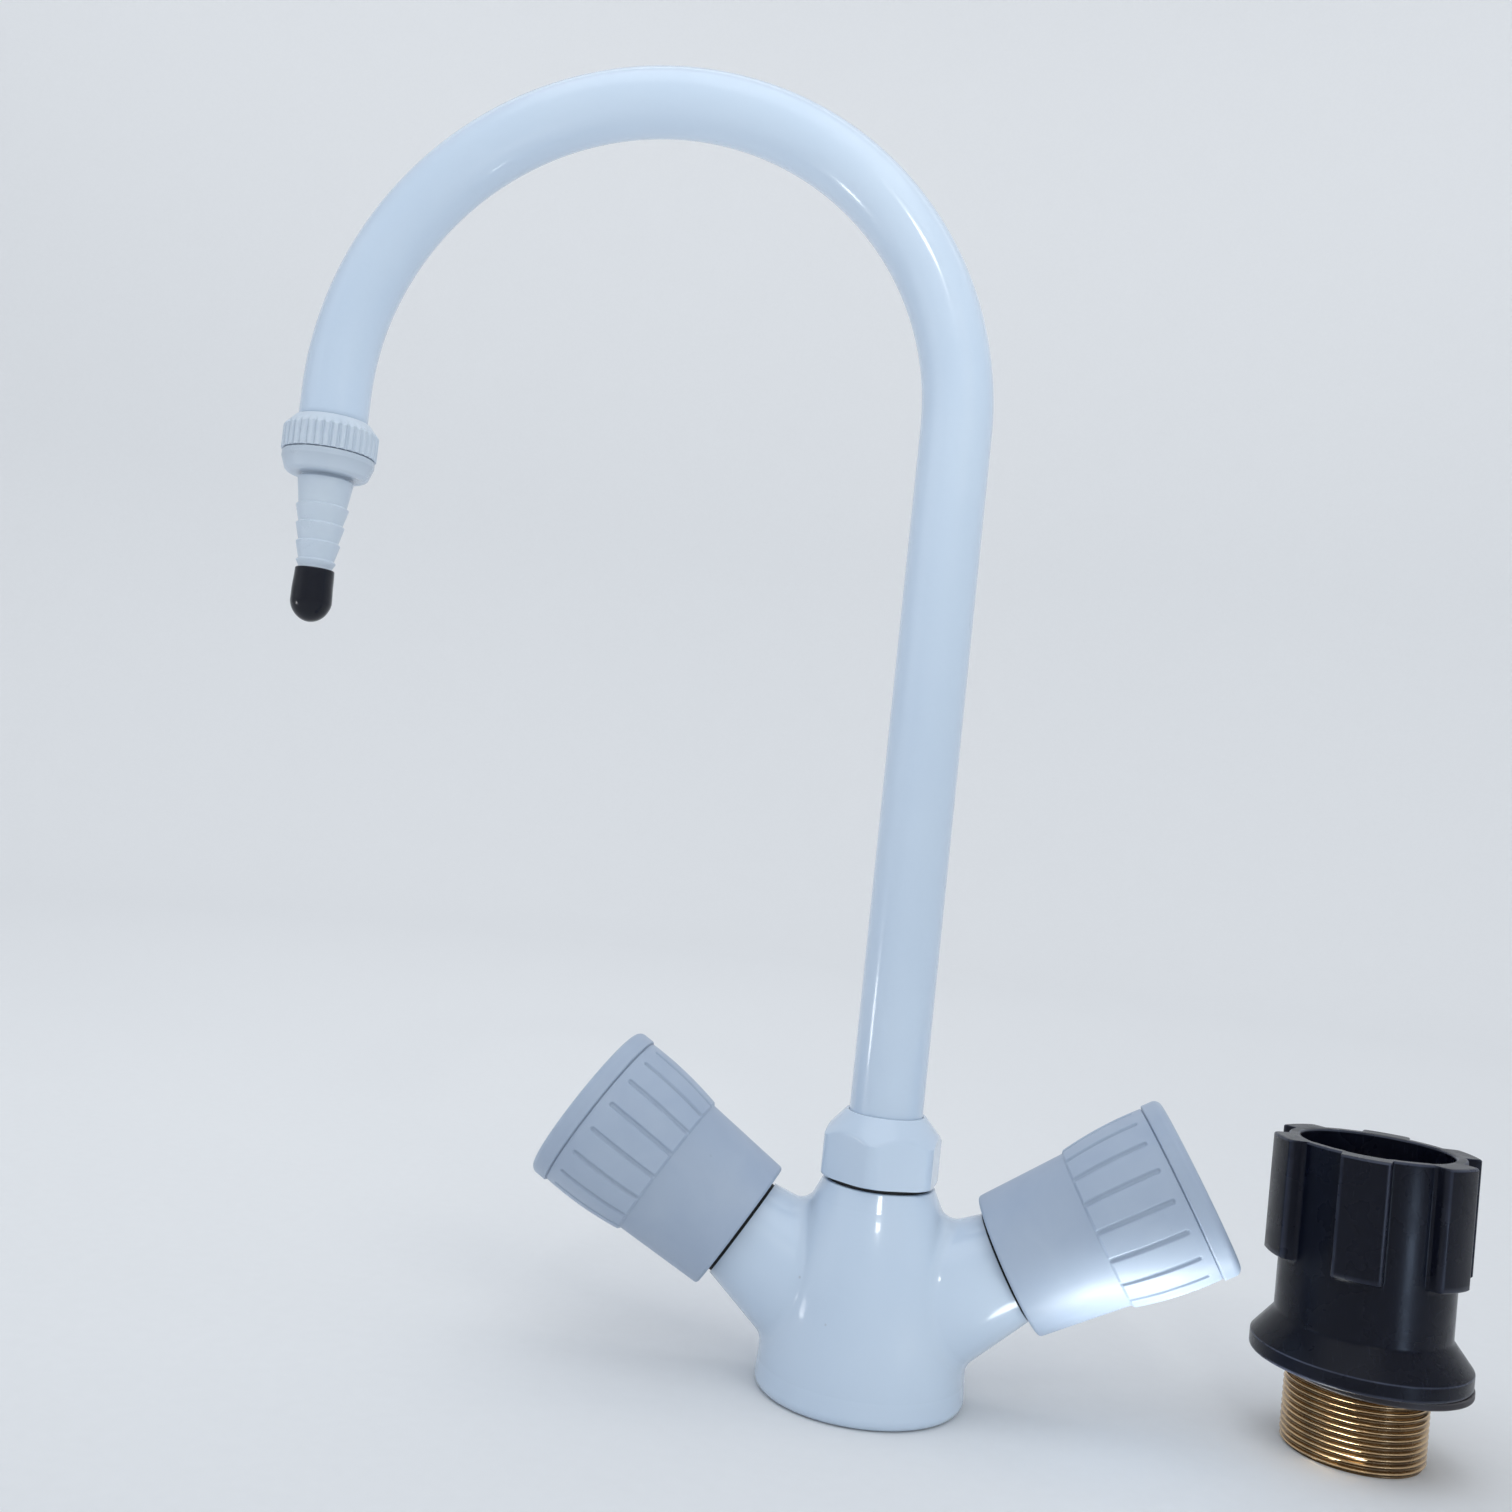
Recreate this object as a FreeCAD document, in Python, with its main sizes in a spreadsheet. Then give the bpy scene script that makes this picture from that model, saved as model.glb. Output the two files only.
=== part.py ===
import FreeCAD, Part
import math
import os
import Sketcher
from FreeCAD import Placement, Rotation, Vector

# A two-handle mixer tap with a swivelling arched spout, and its worktop fixing set.
# Lengths are millimetres. The frame stands on the centre of the base: +Z runs up the
# spout, +X points at the cold handle and the spout reaches towards -X.
# Each handle's headwork is drawn upright, with Z as its own axis, and then tilted.

SIZES = [
    # The arched spout
    ("spout_reach", 165, "centre of the riser to centre of the outlet"),
    ("arch_height", 236.5, "base to the centre of the half circle"),
    ("pipe_diameter", 18, "outside"),
    ("pipe_wall", 1, ""),
    ("pipe_drop", 9.7, "half circle to the pipe's end at the outlet"),
    ("braze_gap", 0.05, "radial, round a spigot in the pipe"),
    ("spigot_length", 10, "of both brazed fittings"),
    ("waterway_diameter", 11, "through the brazed fittings"),
    # The cast body
    ("base_diameter", 51.2, "at the worktop"),
    ("shoulder_diameter", 50.2, "top of the upright base wall"),
    ("shoulder_height", 6.5, ""),
    ("base_edge_round", 2.4, ""),
    ("body_bulge_radius", 84, "curve of the body's side"),
    ("throat_diameter", 31.2, "where the curve meets the spout neck"),
    ("spout_neck_diameter", 27.2, "at its mouth"),
    ("body_height", 50.4, "mouth of the spout neck"),
    ("spout_neck_height", 4.2, "throat to mouth"),
    ("mouth_round", 0.5, ""),
    ("neck_angle", 31, "degrees, side necks above the level"),
    ("neck_axis_height", 15.35, "where the neck axes cross"),
    ("neck_start", 6, "from that crossing, inside the body"),
    ("seat_way_start", 8, "foot of the bore below the seat"),
    ("neck_length", 37.5, "from that crossing to the mouth"),
    ("neck_root_diameter", 38.4, ""),
    ("neck_mouth_diameter", 26.4, ""),
    ("junction_round", 4, "fillet where the necks meet"),
    ("spout_thread_diameter", 24, ""),
    ("spout_thread_depth", 9.4, "mouth to the ledge for the split ring"),
    ("seal_bore_diameter", 18.5, ""),
    ("mixing_depth", 4.6, "chamber below the spout's tail"),
    ("seat_depth", 21, "mouth of a side neck to its valve seat"),
    ("seat_diameter", 10.4, ""),
    ("seat_rise", 1.5, "seat above the chamber floor"),
    ("seat_bore", 6.4, ""),
    ("chamber_diameter", 17.2, ""),
    ("inlet_diameter", 6, "drilled waterway"),
    ("port_thread_diameter", 10, ""),
    ("port_depth", 8, ""),
    ("port_spacing", 18, ""),
    ("shank_thread_diameter", 33, ""),
    ("socket_depth", 9, ""),
    ("thread_gap", 0.05, "radial, between mated threads"),
    ("ring_groove_inside", 36, "groove for the base gasket"),
    ("ring_groove_outside", 42, ""),
    ("ring_groove_depth", 1.6, ""),
    ("gasket_gap", 0.1, "gasket to the walls of its groove"),
    # The spout's swivel joint
    ("running_gap", 0.05, "radial, between turning parts"),
    ("tail_length", 9.4, "below the split ring"),
    ("tail_shoulder", 0.8, "split ring to the pipe's foot"),
    ("split_ring_diameter", 23.2, ""),
    ("split_ring_thickness", 1.8, ""),
    ("split_ring_gap", 2, "the cut that lets it spring open"),
    ("ring_neck_diameter", 16.4, "groove in the tail for the split ring"),
    ("side_gap", 0.2, "beside a ring in its groove"),
    ("spout_seal_section", 1.6, ""),
    ("spout_seal_lift", 2.4, "lower seal above the tail's foot"),
    ("spout_seal_pitch", 3.6, ""),
    ("seal_nip", 0.02, "seal to the bore that it runs in"),
    ("nut_across_flats", 27, ""),
    ("nut_turned_diameter", 30, "corners turned off"),
    ("nut_height", 16.1, ""),
    ("nut_chamfer_drop", 5.9, "height of the sloping top"),
    ("nut_top_diameter", 19.6, ""),
    ("nut_angle", -6.6, "degrees, nearest corner from the front"),
    ("nut_seal_thickness", 0.8, ""),
    ("nut_seal_diameter", 25.2, ""),
    ("pipe_slip_gap", 0.1, "radial, nut to the turning pipe"),
    ("nut_step_gap", 1, "shoulder of the tail to the step in the nut"),
    # The headwork, measured from the crossing of the neck axes
    ("bonnet_gasket_thickness", 0.8, ""),
    ("bonnet_gasket_inset", 0.3, "gasket inside the flange's edge"),
    ("bonnet_thread_diameter", 21, ""),
    ("bonnet_thread_length", 12.5, ""),
    ("bonnet_foot_gap", 0.5, "thread running on past the bonnet"),
    ("bonnet_flange_diameter", 26, ""),
    ("bonnet_flange_thickness", 2, ""),
    ("bonnet_across_flats", 17, ""),
    ("bonnet_hex_height", 6.7, ""),
    ("bonnet_barrel_diameter", 15.2, ""),
    ("bonnet_barrel_length", 13, ""),
    ("guide_across_flats", 13, "hexagonal way for the plunger"),
    ("guide_depth", 10, ""),
    ("guide_gap", 0.1, "plunger to its guide"),
    ("plunger_length", 10.2, "with its flange"),
    ("plunger_lift", 3.5, "opening travel"),
    ("plunger_flange_diameter", 13.2, ""),
    ("plunger_flange_thickness", 2, ""),
    ("jumper_diameter", 12.4, "rubber washer"),
    ("jumper_thickness", 2.4, ""),
    ("seat_gap", 0.1, "washer to seat when shut"),
    ("jumper_screw_diameter", 3, ""),
    ("jumper_screw_head", 5.2, ""),
    ("jumper_screw_head_height", 1.2, ""),
    ("jumper_screw_length", 4, ""),
    ("spindle_thread_diameter", 6, ""),
    ("spindle_end_gap", 0.3, "screw to plunger when fully open"),
    ("plunger_wall", 0.9, "between its two threaded holes"),
    ("spindle_diameter", 8.8, ""),
    ("spindle_collar_diameter", 11.6, ""),
    ("spindle_collar_thickness", 1.9, ""),
    ("spindle_square", 7, "across flats, under the handle"),
    ("spindle_square_length", 7.9, ""),
    ("spindle_seal_section", 1.2, ""),
    ("spindle_seal_lift", 5.7, "lower seal above the foot of the bonnet's flange"),
    ("spindle_seal_pitch", 5, ""),
    ("circlip_thickness", 0.9, ""),
    ("circlip_diameter", 12, ""),
    ("circlip_neck_diameter", 6.4, ""),
    ("circlip_gap", 3, ""),
    # The handles
    ("handle_gap", 0.8, "neck to handle"),
    ("sleeve_length", 22.5, "smooth part of the handle"),
    ("sleeve_small_diameter", 34.3, ""),
    ("sleeve_large_diameter", 37, ""),
    ("sleeve_round", 1.3, "inner rim"),
    ("band_step_length", 1.5, ""),
    ("band_small_diameter", 39.1, ""),
    ("band_large_diameter", 41.2, ""),
    ("band_length", 20.5, "grooved part of the handle"),
    ("band_bulge_radius", 174, ""),
    ("groove_count", 18, ""),
    ("groove_width", 1.3, ""),
    ("groove_depth", 0.55, ""),
    ("groove_length", 18.2, ""),
    ("hot_groove_angle", 3.8, "degrees from the front"),
    ("cold_groove_angle", 9.4, "degrees from the front"),
    ("skirt_bore", 30.6, "inside the smooth part"),
    ("hub_diameter", 13, ""),
    ("hub_gap", 0.5, "circlip to hub"),
    ("hub_depth", 4.6, "hub inside the skirt"),
    ("web_thickness", 5, ""),
    ("cap_bore", 35.2, "hollow under the end cap"),
    ("square_gap", 0.1, "spindle to the square in the hub"),
    ("square_end_gap", 0.3, "spindle to the end of its hole"),
    ("handle_screw_diameter", 4, ""),
    ("handle_screw_head", 7.6, ""),
    ("handle_screw_head_height", 2.6, ""),
    ("handle_screw_length", 12, ""),
    ("handle_screw_round", 0.8, "edge of the head"),
    ("screw_end_gap", 1, "screw to the end of its hole"),
    ("cap_seam", 0.2, ""),
    ("cap_diameter", 42.8, ""),
    ("cap_thickness", 4.8, ""),
    ("cap_edge_round", 1.8, ""),
    ("cap_lip_round", 0.4, ""),
    ("cap_wall", 2, ""),
    ("cap_spigot_length", 5, ""),
    # The outlet
    ("outlet_collar_diameter", 20.4, ""),
    ("outlet_collar_thickness", 1.9, ""),
    ("outlet_thread_diameter", 21, ""),
    ("ring_nut_float", 0.2, "nut to the collar that carries it"),
    ("ring_nut_height", 9.2, ""),
    ("ring_nut_diameter", 24.8, "over the ribs"),
    ("ring_nut_top_diameter", 19.6, ""),
    ("ring_nut_slope_height", 3, ""),
    ("ring_nut_lip_gap", 0.25, "nut to pipe"),
    ("ring_nut_lip_thickness", 1.5, ""),
    ("rib_count", 36, ""),
    ("rib_depth", 0.65, ""),
    ("rib_groove_width", 1.3, ""),
    ("nozzle_gasket_thickness", 1.3, ""),
    ("nozzle_gasket_bore", 13, ""),
    ("nozzle_seam", 0.7, "between ring nut and nozzle flange"),
    ("nozzle_flange_diameter", 24.4, ""),
    ("nozzle_flange_thickness", 5.1, ""),
    ("nozzle_flange_round", 2, ""),
    ("nozzle_root_diameter", 14.6, ""),
    ("nozzle_recess_diameter", 12.8, "under the flange"),
    ("nozzle_recess_height", 0.8, ""),
    ("nozzle_neck_length", 8.3, "flange to first ridge"),
    ("barb_span", 14.6, "first ridge to last ridge"),
    ("nozzle_first_barb_diameter", 13.7, ""),
    ("nozzle_last_barb_diameter", 10.4, ""),
    ("barb_count", 4, ""),
    ("barb_step", 0.45, "ledge above each ridge"),
    ("barb_run_out", 1.4, "below the last ridge"),
    ("nozzle_tip_length", 10.2, "plain part below the ridges"),
    ("nozzle_tip_diameter", 8.8, ""),
    ("nozzle_bore", 6, ""),
    ("plug_seam", 0.6, "black cap to the end of the ridges"),
    ("plug_end_length", 4.5, "cap below the nozzle's tip"),
    ("plug_top_diameter", 10.2, ""),
    ("plug_diameter", 10.8, ""),
    ("plug_belly_lift", 1, "widest place above the nozzle's tip"),
    ("plug_end_radius", 5.6, ""),
    ("plug_gap", 0.1, "radial, cap to nozzle"),
    # The fixing set, which stands beside the tap
    ("fixing_across", 118, "along X"),
    ("fixing_back", 15, "along Y"),
    ("shank_length", 60, ""),
    ("shank_bore", 28, ""),
    ("shank_edge", 0.9, "chamfer at both ends"),
    ("fixing_washer_diameter", 44.5, ""),
    ("fixing_washer_bore", 40.6, ""),
    ("fixing_washer_thickness", 1.8, ""),
    ("fixing_washer_gap", 0.3, "washer to nut"),
    ("fixing_washer_shift", 3.4, "it hangs off centre"),
    ("clamp_nut_foot_height", 20.5, ""),
    ("clamp_flange_diameter", 50.4, ""),
    ("clamp_flange_rim", 3.7, ""),
    ("clamp_slope_height", 6.2, ""),
    ("clamp_barrel_diameter", 40.4, ""),
    ("clamp_thread_length", 24.5, ""),
    ("clamp_nut_height", 52.2, ""),
    ("clamp_upper_bore", 35, ""),
    ("lobe_count", 6, ""),
    ("lobe_diameter", 47.8, "over the lobes"),
    ("lobe_width", 11, ""),
    ("lobe_edge", 1, ""),
    ("lobe_start", 24, "from the foot of the nut"),
    ("lobe_angle", -20, "degrees, first lobe from the front"),
]

doc = FreeCAD.newDocument("mixer_tap")
sheet = doc.addObject("Spreadsheet::Sheet", "sizes")
for row, (alias, number, note) in enumerate(SIZES, start=1):
    sheet.set("A%d" % row, alias)
    sheet.set("B%d" % row, str(number))
    sheet.set("C%d" % row, note)
    sheet.setAlias("B%d" % row, alias)
doc.recompute()


class Size:
    """A length or an angle, with the formula that ties it to the cells of the sheet."""

    def __init__(self, value, text):
        self.value = float(value)
        self.text = text

    def __add__(self, other):
        other = as_size(other)
        return Size(self.value + other.value, "(%s + %s)" % (self.text, other.text))

    def __sub__(self, other):
        other = as_size(other)
        return Size(self.value - other.value, "(%s - %s)" % (self.text, other.text))

    def __mul__(self, factor):
        factor = as_size(factor)
        return Size(self.value * factor.value, "(%s * %s)" % (self.text, factor.text))

    def __truediv__(self, factor):
        factor = as_size(factor)
        return Size(self.value / factor.value, "(%s / %s)" % (self.text, factor.text))

    def __neg__(self):
        return self * -1


def as_size(number):
    """Leaves a size as it is, and makes a plain number into one."""
    if isinstance(number, Size):
        return number
    return Size(number, "(%.9f)" % number)


def cell(alias):
    """The size that the sheet holds under this name."""
    return Size(sheet.get(alias), "sizes." + alias)


def half(alias):
    """The radius of a diameter in the sheet."""
    return cell(alias) / 2


def slope_angle(rise, run):
    """The angle in degrees of a slope that climbs by rise over run."""
    degrees = math.degrees(math.atan(rise.value / run.value))
    return Size(degrees, "atan(%s / %s)" % (rise.text, run.text))


class Bow:
    """Marks the next stretch of an outline as an arc that bulges to its left or right."""

    def __init__(self, radius, side):
        self.radius = as_size(radius)
        self.side = side


def tangent(angle):
    """The tangent of an angle in degrees."""
    return Size(math.tan(math.radians(angle.value)), "tan(%s)" % angle.text)


ZERO = as_size(0)

# The way to the front, in degrees from +X
FRONT = as_size(-90)

# A cut starts this far outside the piece, so that it leaves no skin behind
OVERRUN = as_size(1)
SHORT_OVERRUN = as_size(0.2)


def new_body(label):
    body = doc.addObject("PartDesign::Body", label)
    body.Label = label
    return body


def origin_feature(body, role):
    return next(item for item in body.Origin.OriginFeatures if item.Role == role)


def new_sketch(body, name, role, lift=None):
    """A sketch flat on one of the body's own planes, or lifted off it."""
    sketch = body.newObject("Sketcher::SketchObject", name)
    sketch.AttachmentSupport = [(origin_feature(body, role), "")]
    sketch.MapMode = "FlatFace"
    if lift is not None:
        sketch.setExpression("AttachmentOffset.Base.z", lift.text)
    return sketch


def arc_between(start, end, bow):
    """An arc of the bow's radius from start to end, and the numbers of its two ends."""
    chord = end - start
    left = Vector(-chord.y, chord.x, 0).normalize()
    drop = math.sqrt(max(bow.radius.value ** 2 - (chord.Length / 2) ** 2, 0))
    centre = start + chord * 0.5 - left * (bow.side * drop)
    from_start = math.atan2(start.y - centre.y, start.x - centre.x)
    from_end = math.atan2(end.y - centre.y, end.x - centre.x)
    circle = Part.Circle(centre, Vector(0, 0, 1), bow.radius.value)
    if bow.side < 0:
        return Part.ArcOfCircle(circle, from_start, from_end), 1, 2
    return Part.ArcOfCircle(circle, from_end, from_start), 2, 1


def pin_point(sketch, edge, end, point):
    """Holds one end of an edge at a point that is worked out from the sheet."""
    for axis, line, distance in (("X", -2, point[0]), ("Y", -1, point[1])):
        distance = as_size(distance)
        if abs(distance.value) < 1e-9:
            sketch.addConstraint(Sketcher.Constraint("PointOnObject", edge, end, line))
            continue
        held = Sketcher.Constraint("Distance" + axis, edge, end, distance.value)
        number = sketch.addConstraint(held)
        sketch.setExpression("Constraints[%d]" % number, distance.text)


def draw_loop(sketch, outline):
    """Draws a closed outline of points and bows, each point tied to the sheet."""
    points = [item for item in outline if not isinstance(item, Bow)]
    bows = {}
    for item, following in zip(outline, outline[1:]):
        if isinstance(following, Bow):
            bows[points.index(item)] = following
    ends = []
    for number, point in enumerate(points):
        after = points[(number + 1) % len(points)]
        start = Vector(as_size(point[0]).value, as_size(point[1]).value, 0)
        end = Vector(as_size(after[0]).value, as_size(after[1]).value, 0)
        if number in bows:
            curve, first, last = arc_between(start, end, bows[number])
        else:
            curve, first, last = Part.LineSegment(start, end), 1, 2
        ends.append((sketch.addGeometry(curve, False), first, last))
    for number, (edge, first, last) in enumerate(ends):
        next_edge, next_first, unused = ends[(number + 1) % len(ends)]
        joint = Sketcher.Constraint("Coincident", edge, last, next_edge, next_first)
        sketch.addConstraint(joint)
        pin_point(sketch, edge, first, points[number])
        if number in bows:
            radius = bows[number].radius
            held = Sketcher.Constraint("Radius", edge, radius.value)
            index = sketch.addConstraint(held)
            sketch.setExpression("Constraints[%d]" % index, radius.text)


def draw_circle(sketch, across, along, radius):
    """Draws a circle whose centre and radius are tied to the sheet."""
    centre = Vector(as_size(across).value, as_size(along).value, 0)
    edge = sketch.addGeometry(Part.Circle(centre, Vector(0, 0, 1), radius.value), False)
    pin_point(sketch, edge, 3, (across, along))
    index = sketch.addConstraint(Sketcher.Constraint("Radius", edge, radius.value))
    sketch.setExpression("Constraints[%d]" % index, radius.text)


def checked(body, feature, cutting):
    """Recomputes a new feature and makes sure that it added or removed metal."""
    body.Tip = feature
    doc.recompute()
    before = feature.BaseFeature.Shape.Volume if feature.BaseFeature else 0.0
    change = feature.Shape.Volume - before
    if cutting:
        change = -change
    if change <= 0:
        raise RuntimeError("%s of %s changes nothing" % (feature.Name, body.Label))
    return feature


def revolved(body, name, outline, cutting=False, tilt=None, rise=None):
    """Turns an outline of radius and height about the body's Z axis, or a tilted one."""
    sketch = new_sketch(body, name + "_outline", "XZ_Plane")
    if tilt is not None:
        sketch.AttachmentOffset = Placement(Vector(), Rotation(Vector(0, 0, 1), 1))
        sketch.setExpression("AttachmentOffset.Rotation.Angle", tilt.text)
        sketch.setExpression("AttachmentOffset.Base.y", rise.text)
    draw_loop(sketch, outline)
    kind = "PartDesign::Groove" if cutting else "PartDesign::Revolution"
    feature = body.newObject(kind, name)
    feature.Profile = sketch
    feature.ReferenceAxis = (sketch, ["V_Axis"])
    feature.Angle = 360
    return checked(body, feature, cutting)


def extruded(body, name, loops, foot, length, cutting=False):
    """Pads or cuts outlines of X and Y upwards from a height above the body's XY plane."""
    sketch = new_sketch(body, name + "_outline", "XY_Plane", as_size(foot))
    for loop in loops:
        if isinstance(loop, list):
            draw_loop(sketch, loop)
        else:
            draw_circle(sketch, *loop)
    kind = "PartDesign::Pocket" if cutting else "PartDesign::Pad"
    feature = body.newObject(kind, name)
    feature.Profile = sketch
    feature.Reversed = cutting
    feature.setExpression("Length", as_size(length).text)
    return checked(body, feature, cutting)


def ring_of(body, name, feature, count, cutting):
    """Repeats a feature round the body's Z axis."""
    pattern = body.newObject("PartDesign::PolarPattern", name)
    pattern.Originals = [feature]
    pattern.Axis = (origin_feature(body, "Z_Axis"), [""])
    pattern.Angle = 360
    pattern.setExpression("Occurrences", count.text)
    return checked(body, pattern, cutting)


def circle_edges(shape, rings):
    """The names of the edges that are circles about Z with these radii and heights."""
    names = []
    for number, edge in enumerate(shape.Edges, start=1):
        curve = edge.Curve
        if not isinstance(curve, Part.Circle):
            continue
        for radius, height in rings:
            off_axis = math.hypot(curve.Center.x, curve.Center.y)
            off_size = abs(curve.Radius - as_size(radius).value)
            off_height = abs(curve.Center.z - as_size(height).value)
            if max(off_axis, off_size, off_height) < 1e-4:
                names.append("Edge%d" % number)
    return names


def softened(body, name, names, size, kind="PartDesign::Fillet"):
    """Rounds or bevels edges of the body's last feature."""
    if not names:
        raise RuntimeError("%s of %s finds no edge" % (name, body.Label))
    last = body.Tip
    feature = body.newObject(kind, name)
    feature.Base = (last, names)
    key = "Radius" if kind.endswith("Fillet") else "Size"
    feature.setExpression(key, size.text)
    body.Tip = feature
    doc.recompute()
    if abs(feature.Shape.Volume - last.Shape.Volume) < 1e-9:
        raise RuntimeError("%s of %s changes nothing" % (name, body.Label))
    return feature


def corner_reach(sides, across_flats):
    """How far the corners of a regular polygon are from its centre."""
    return across_flats / (2 * math.cos(math.pi / sides))


def polygon(sides, across_flats, turn=0.0):
    """The corners of a regular polygon, the first one turned from +X by an angle."""
    reach = corner_reach(sides, across_flats)
    corners = []
    for number in range(sides):
        angle = math.radians(turn) + 2 * math.pi * number / sides
        corners.append((reach * math.cos(angle), reach * math.sin(angle)))
    return corners


def square(across):
    """A square about the origin with its flats along X and Y."""
    side = across / 2
    return [(side, side), (-side, side), (-side, -side), (side, -side)]


def place(item, across=ZERO, back=ZERO, up=ZERO, tilt=None, turn=None):
    """Moves a finished piece to its place in the frame, tied to the sheet."""
    if tilt is not None:
        item.Placement = Placement(Vector(), Rotation(Vector(0, 1, 0), 1))
        item.setExpression("Placement.Rotation.Angle", tilt.text)
    if turn is not None:
        item.Placement = Placement(Vector(), Rotation(Vector(0, 0, 1), 1))
        item.setExpression("Placement.Rotation.Angle", turn.text)
    for axis, distance in (("x", across), ("y", back), ("z", up)):
        if distance is not ZERO:
            item.setExpression("Placement.Base." + axis, distance.text)
    return item


def tube_outline(inside, outside, bottom, top):
    """A rectangle of two radii and two heights, for a plain ring or tube."""
    return [(inside, bottom), (outside, bottom), (outside, top), (inside, top)]


def gap_outline(reach, width):
    """A strip from the axis outwards along +X, which opens a ring."""
    side = width / 2
    return [(ZERO, -side), (reach, -side), (reach, side), (ZERO, side)]


def plain_ring(label, inside, outside, bottom, top):
    body = new_body(label)
    revolved(body, label + "_ring", tube_outline(inside, outside, bottom, top))
    return body


def seal_pair(label, centre_radius, section, low, pitch):
    """Two round-section seals, one above the other, as one group."""
    seals = []
    for number in range(2):
        seal = doc.addObject("Part::Torus", "%s_%d" % (label, number + 1))
        seal.setExpression("Radius1", centre_radius.text)
        seal.setExpression("Radius2", (section / 2).text)
        seal.setExpression("Placement.Base.z", (low + pitch * number).text)
        seals.append(seal)
    group = doc.addObject("Part::Compound", label)
    group.Label = label
    group.Links = seals
    return group


pieces = []

# Places and radii that more than one piece uses

pipe_radius = half("pipe_diameter")
pipe_bore_radius = pipe_radius - cell("pipe_wall")
spigot_radius = pipe_bore_radius - cell("braze_gap")
waterway_radius = half("waterway_diameter")
pipe_tip = cell("arch_height") - cell("pipe_drop")
body_top = cell("body_height")
ledge = body_top - cell("spout_thread_depth")
tail_foot = ledge - cell("tail_length")
spout_seal_low = tail_foot + cell("spout_seal_lift")
split_ring_top = ledge + cell("split_ring_thickness") + cell("side_gap") * 2
pipe_foot = split_ring_top + cell("tail_shoulder")
neck_tilt = as_size(90) - cell("neck_angle")
neck_mouth = cell("neck_length")
seal_bore_radius = half("seal_bore_diameter")
tail_radius = seal_bore_radius - cell("running_gap")
nut_foot = body_top + cell("nut_seal_thickness")
bonnet_seat = neck_mouth + cell("bonnet_gasket_thickness")
spindle_seal_low = bonnet_seat + cell("spindle_seal_lift")
bonnet_foot = neck_mouth - cell("bonnet_thread_length")
bonnet_hex_foot = bonnet_seat + cell("bonnet_flange_thickness")
bonnet_hex_top = bonnet_hex_foot + cell("bonnet_hex_height")
bonnet_top = bonnet_hex_top + cell("bonnet_barrel_length")
guide_top = bonnet_foot + cell("guide_depth")
spindle_radius = half("spindle_diameter")
spindle_bore_radius = spindle_radius + cell("running_gap")
seat = neck_mouth - cell("seat_depth")
jumper_foot = seat + cell("seat_gap")
plunger_foot = jumper_foot + cell("jumper_thickness")
jumper_hole_top = jumper_foot + cell("jumper_screw_length") + cell("spindle_end_gap")
plunger_thread_foot = jumper_hole_top + cell("plunger_wall")
circlip_foot = bonnet_top + cell("side_gap")
circlip_top = circlip_foot + cell("circlip_thickness")
hub_foot = circlip_top + cell("hub_gap")
web_foot = hub_foot + cell("hub_depth")
web_top = web_foot + cell("web_thickness")
handle_foot = neck_mouth + cell("handle_gap")
band_foot = handle_foot + cell("sleeve_length") + cell("band_step_length")
handle_top = band_foot + cell("band_length")
cap_foot = handle_top + cell("cap_seam")

# The cast body


def junction_edges(shape):
    """The curved edges where a neck meets the body or the other neck."""
    names = []
    for number, edge in enumerate(shape.Edges, start=1):
        flat_circle = isinstance(edge.Curve, (Part.Circle, Part.Line))
        if not flat_circle and edge.Length > 1:
            names.append("Edge%d" % number)
    return names


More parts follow.
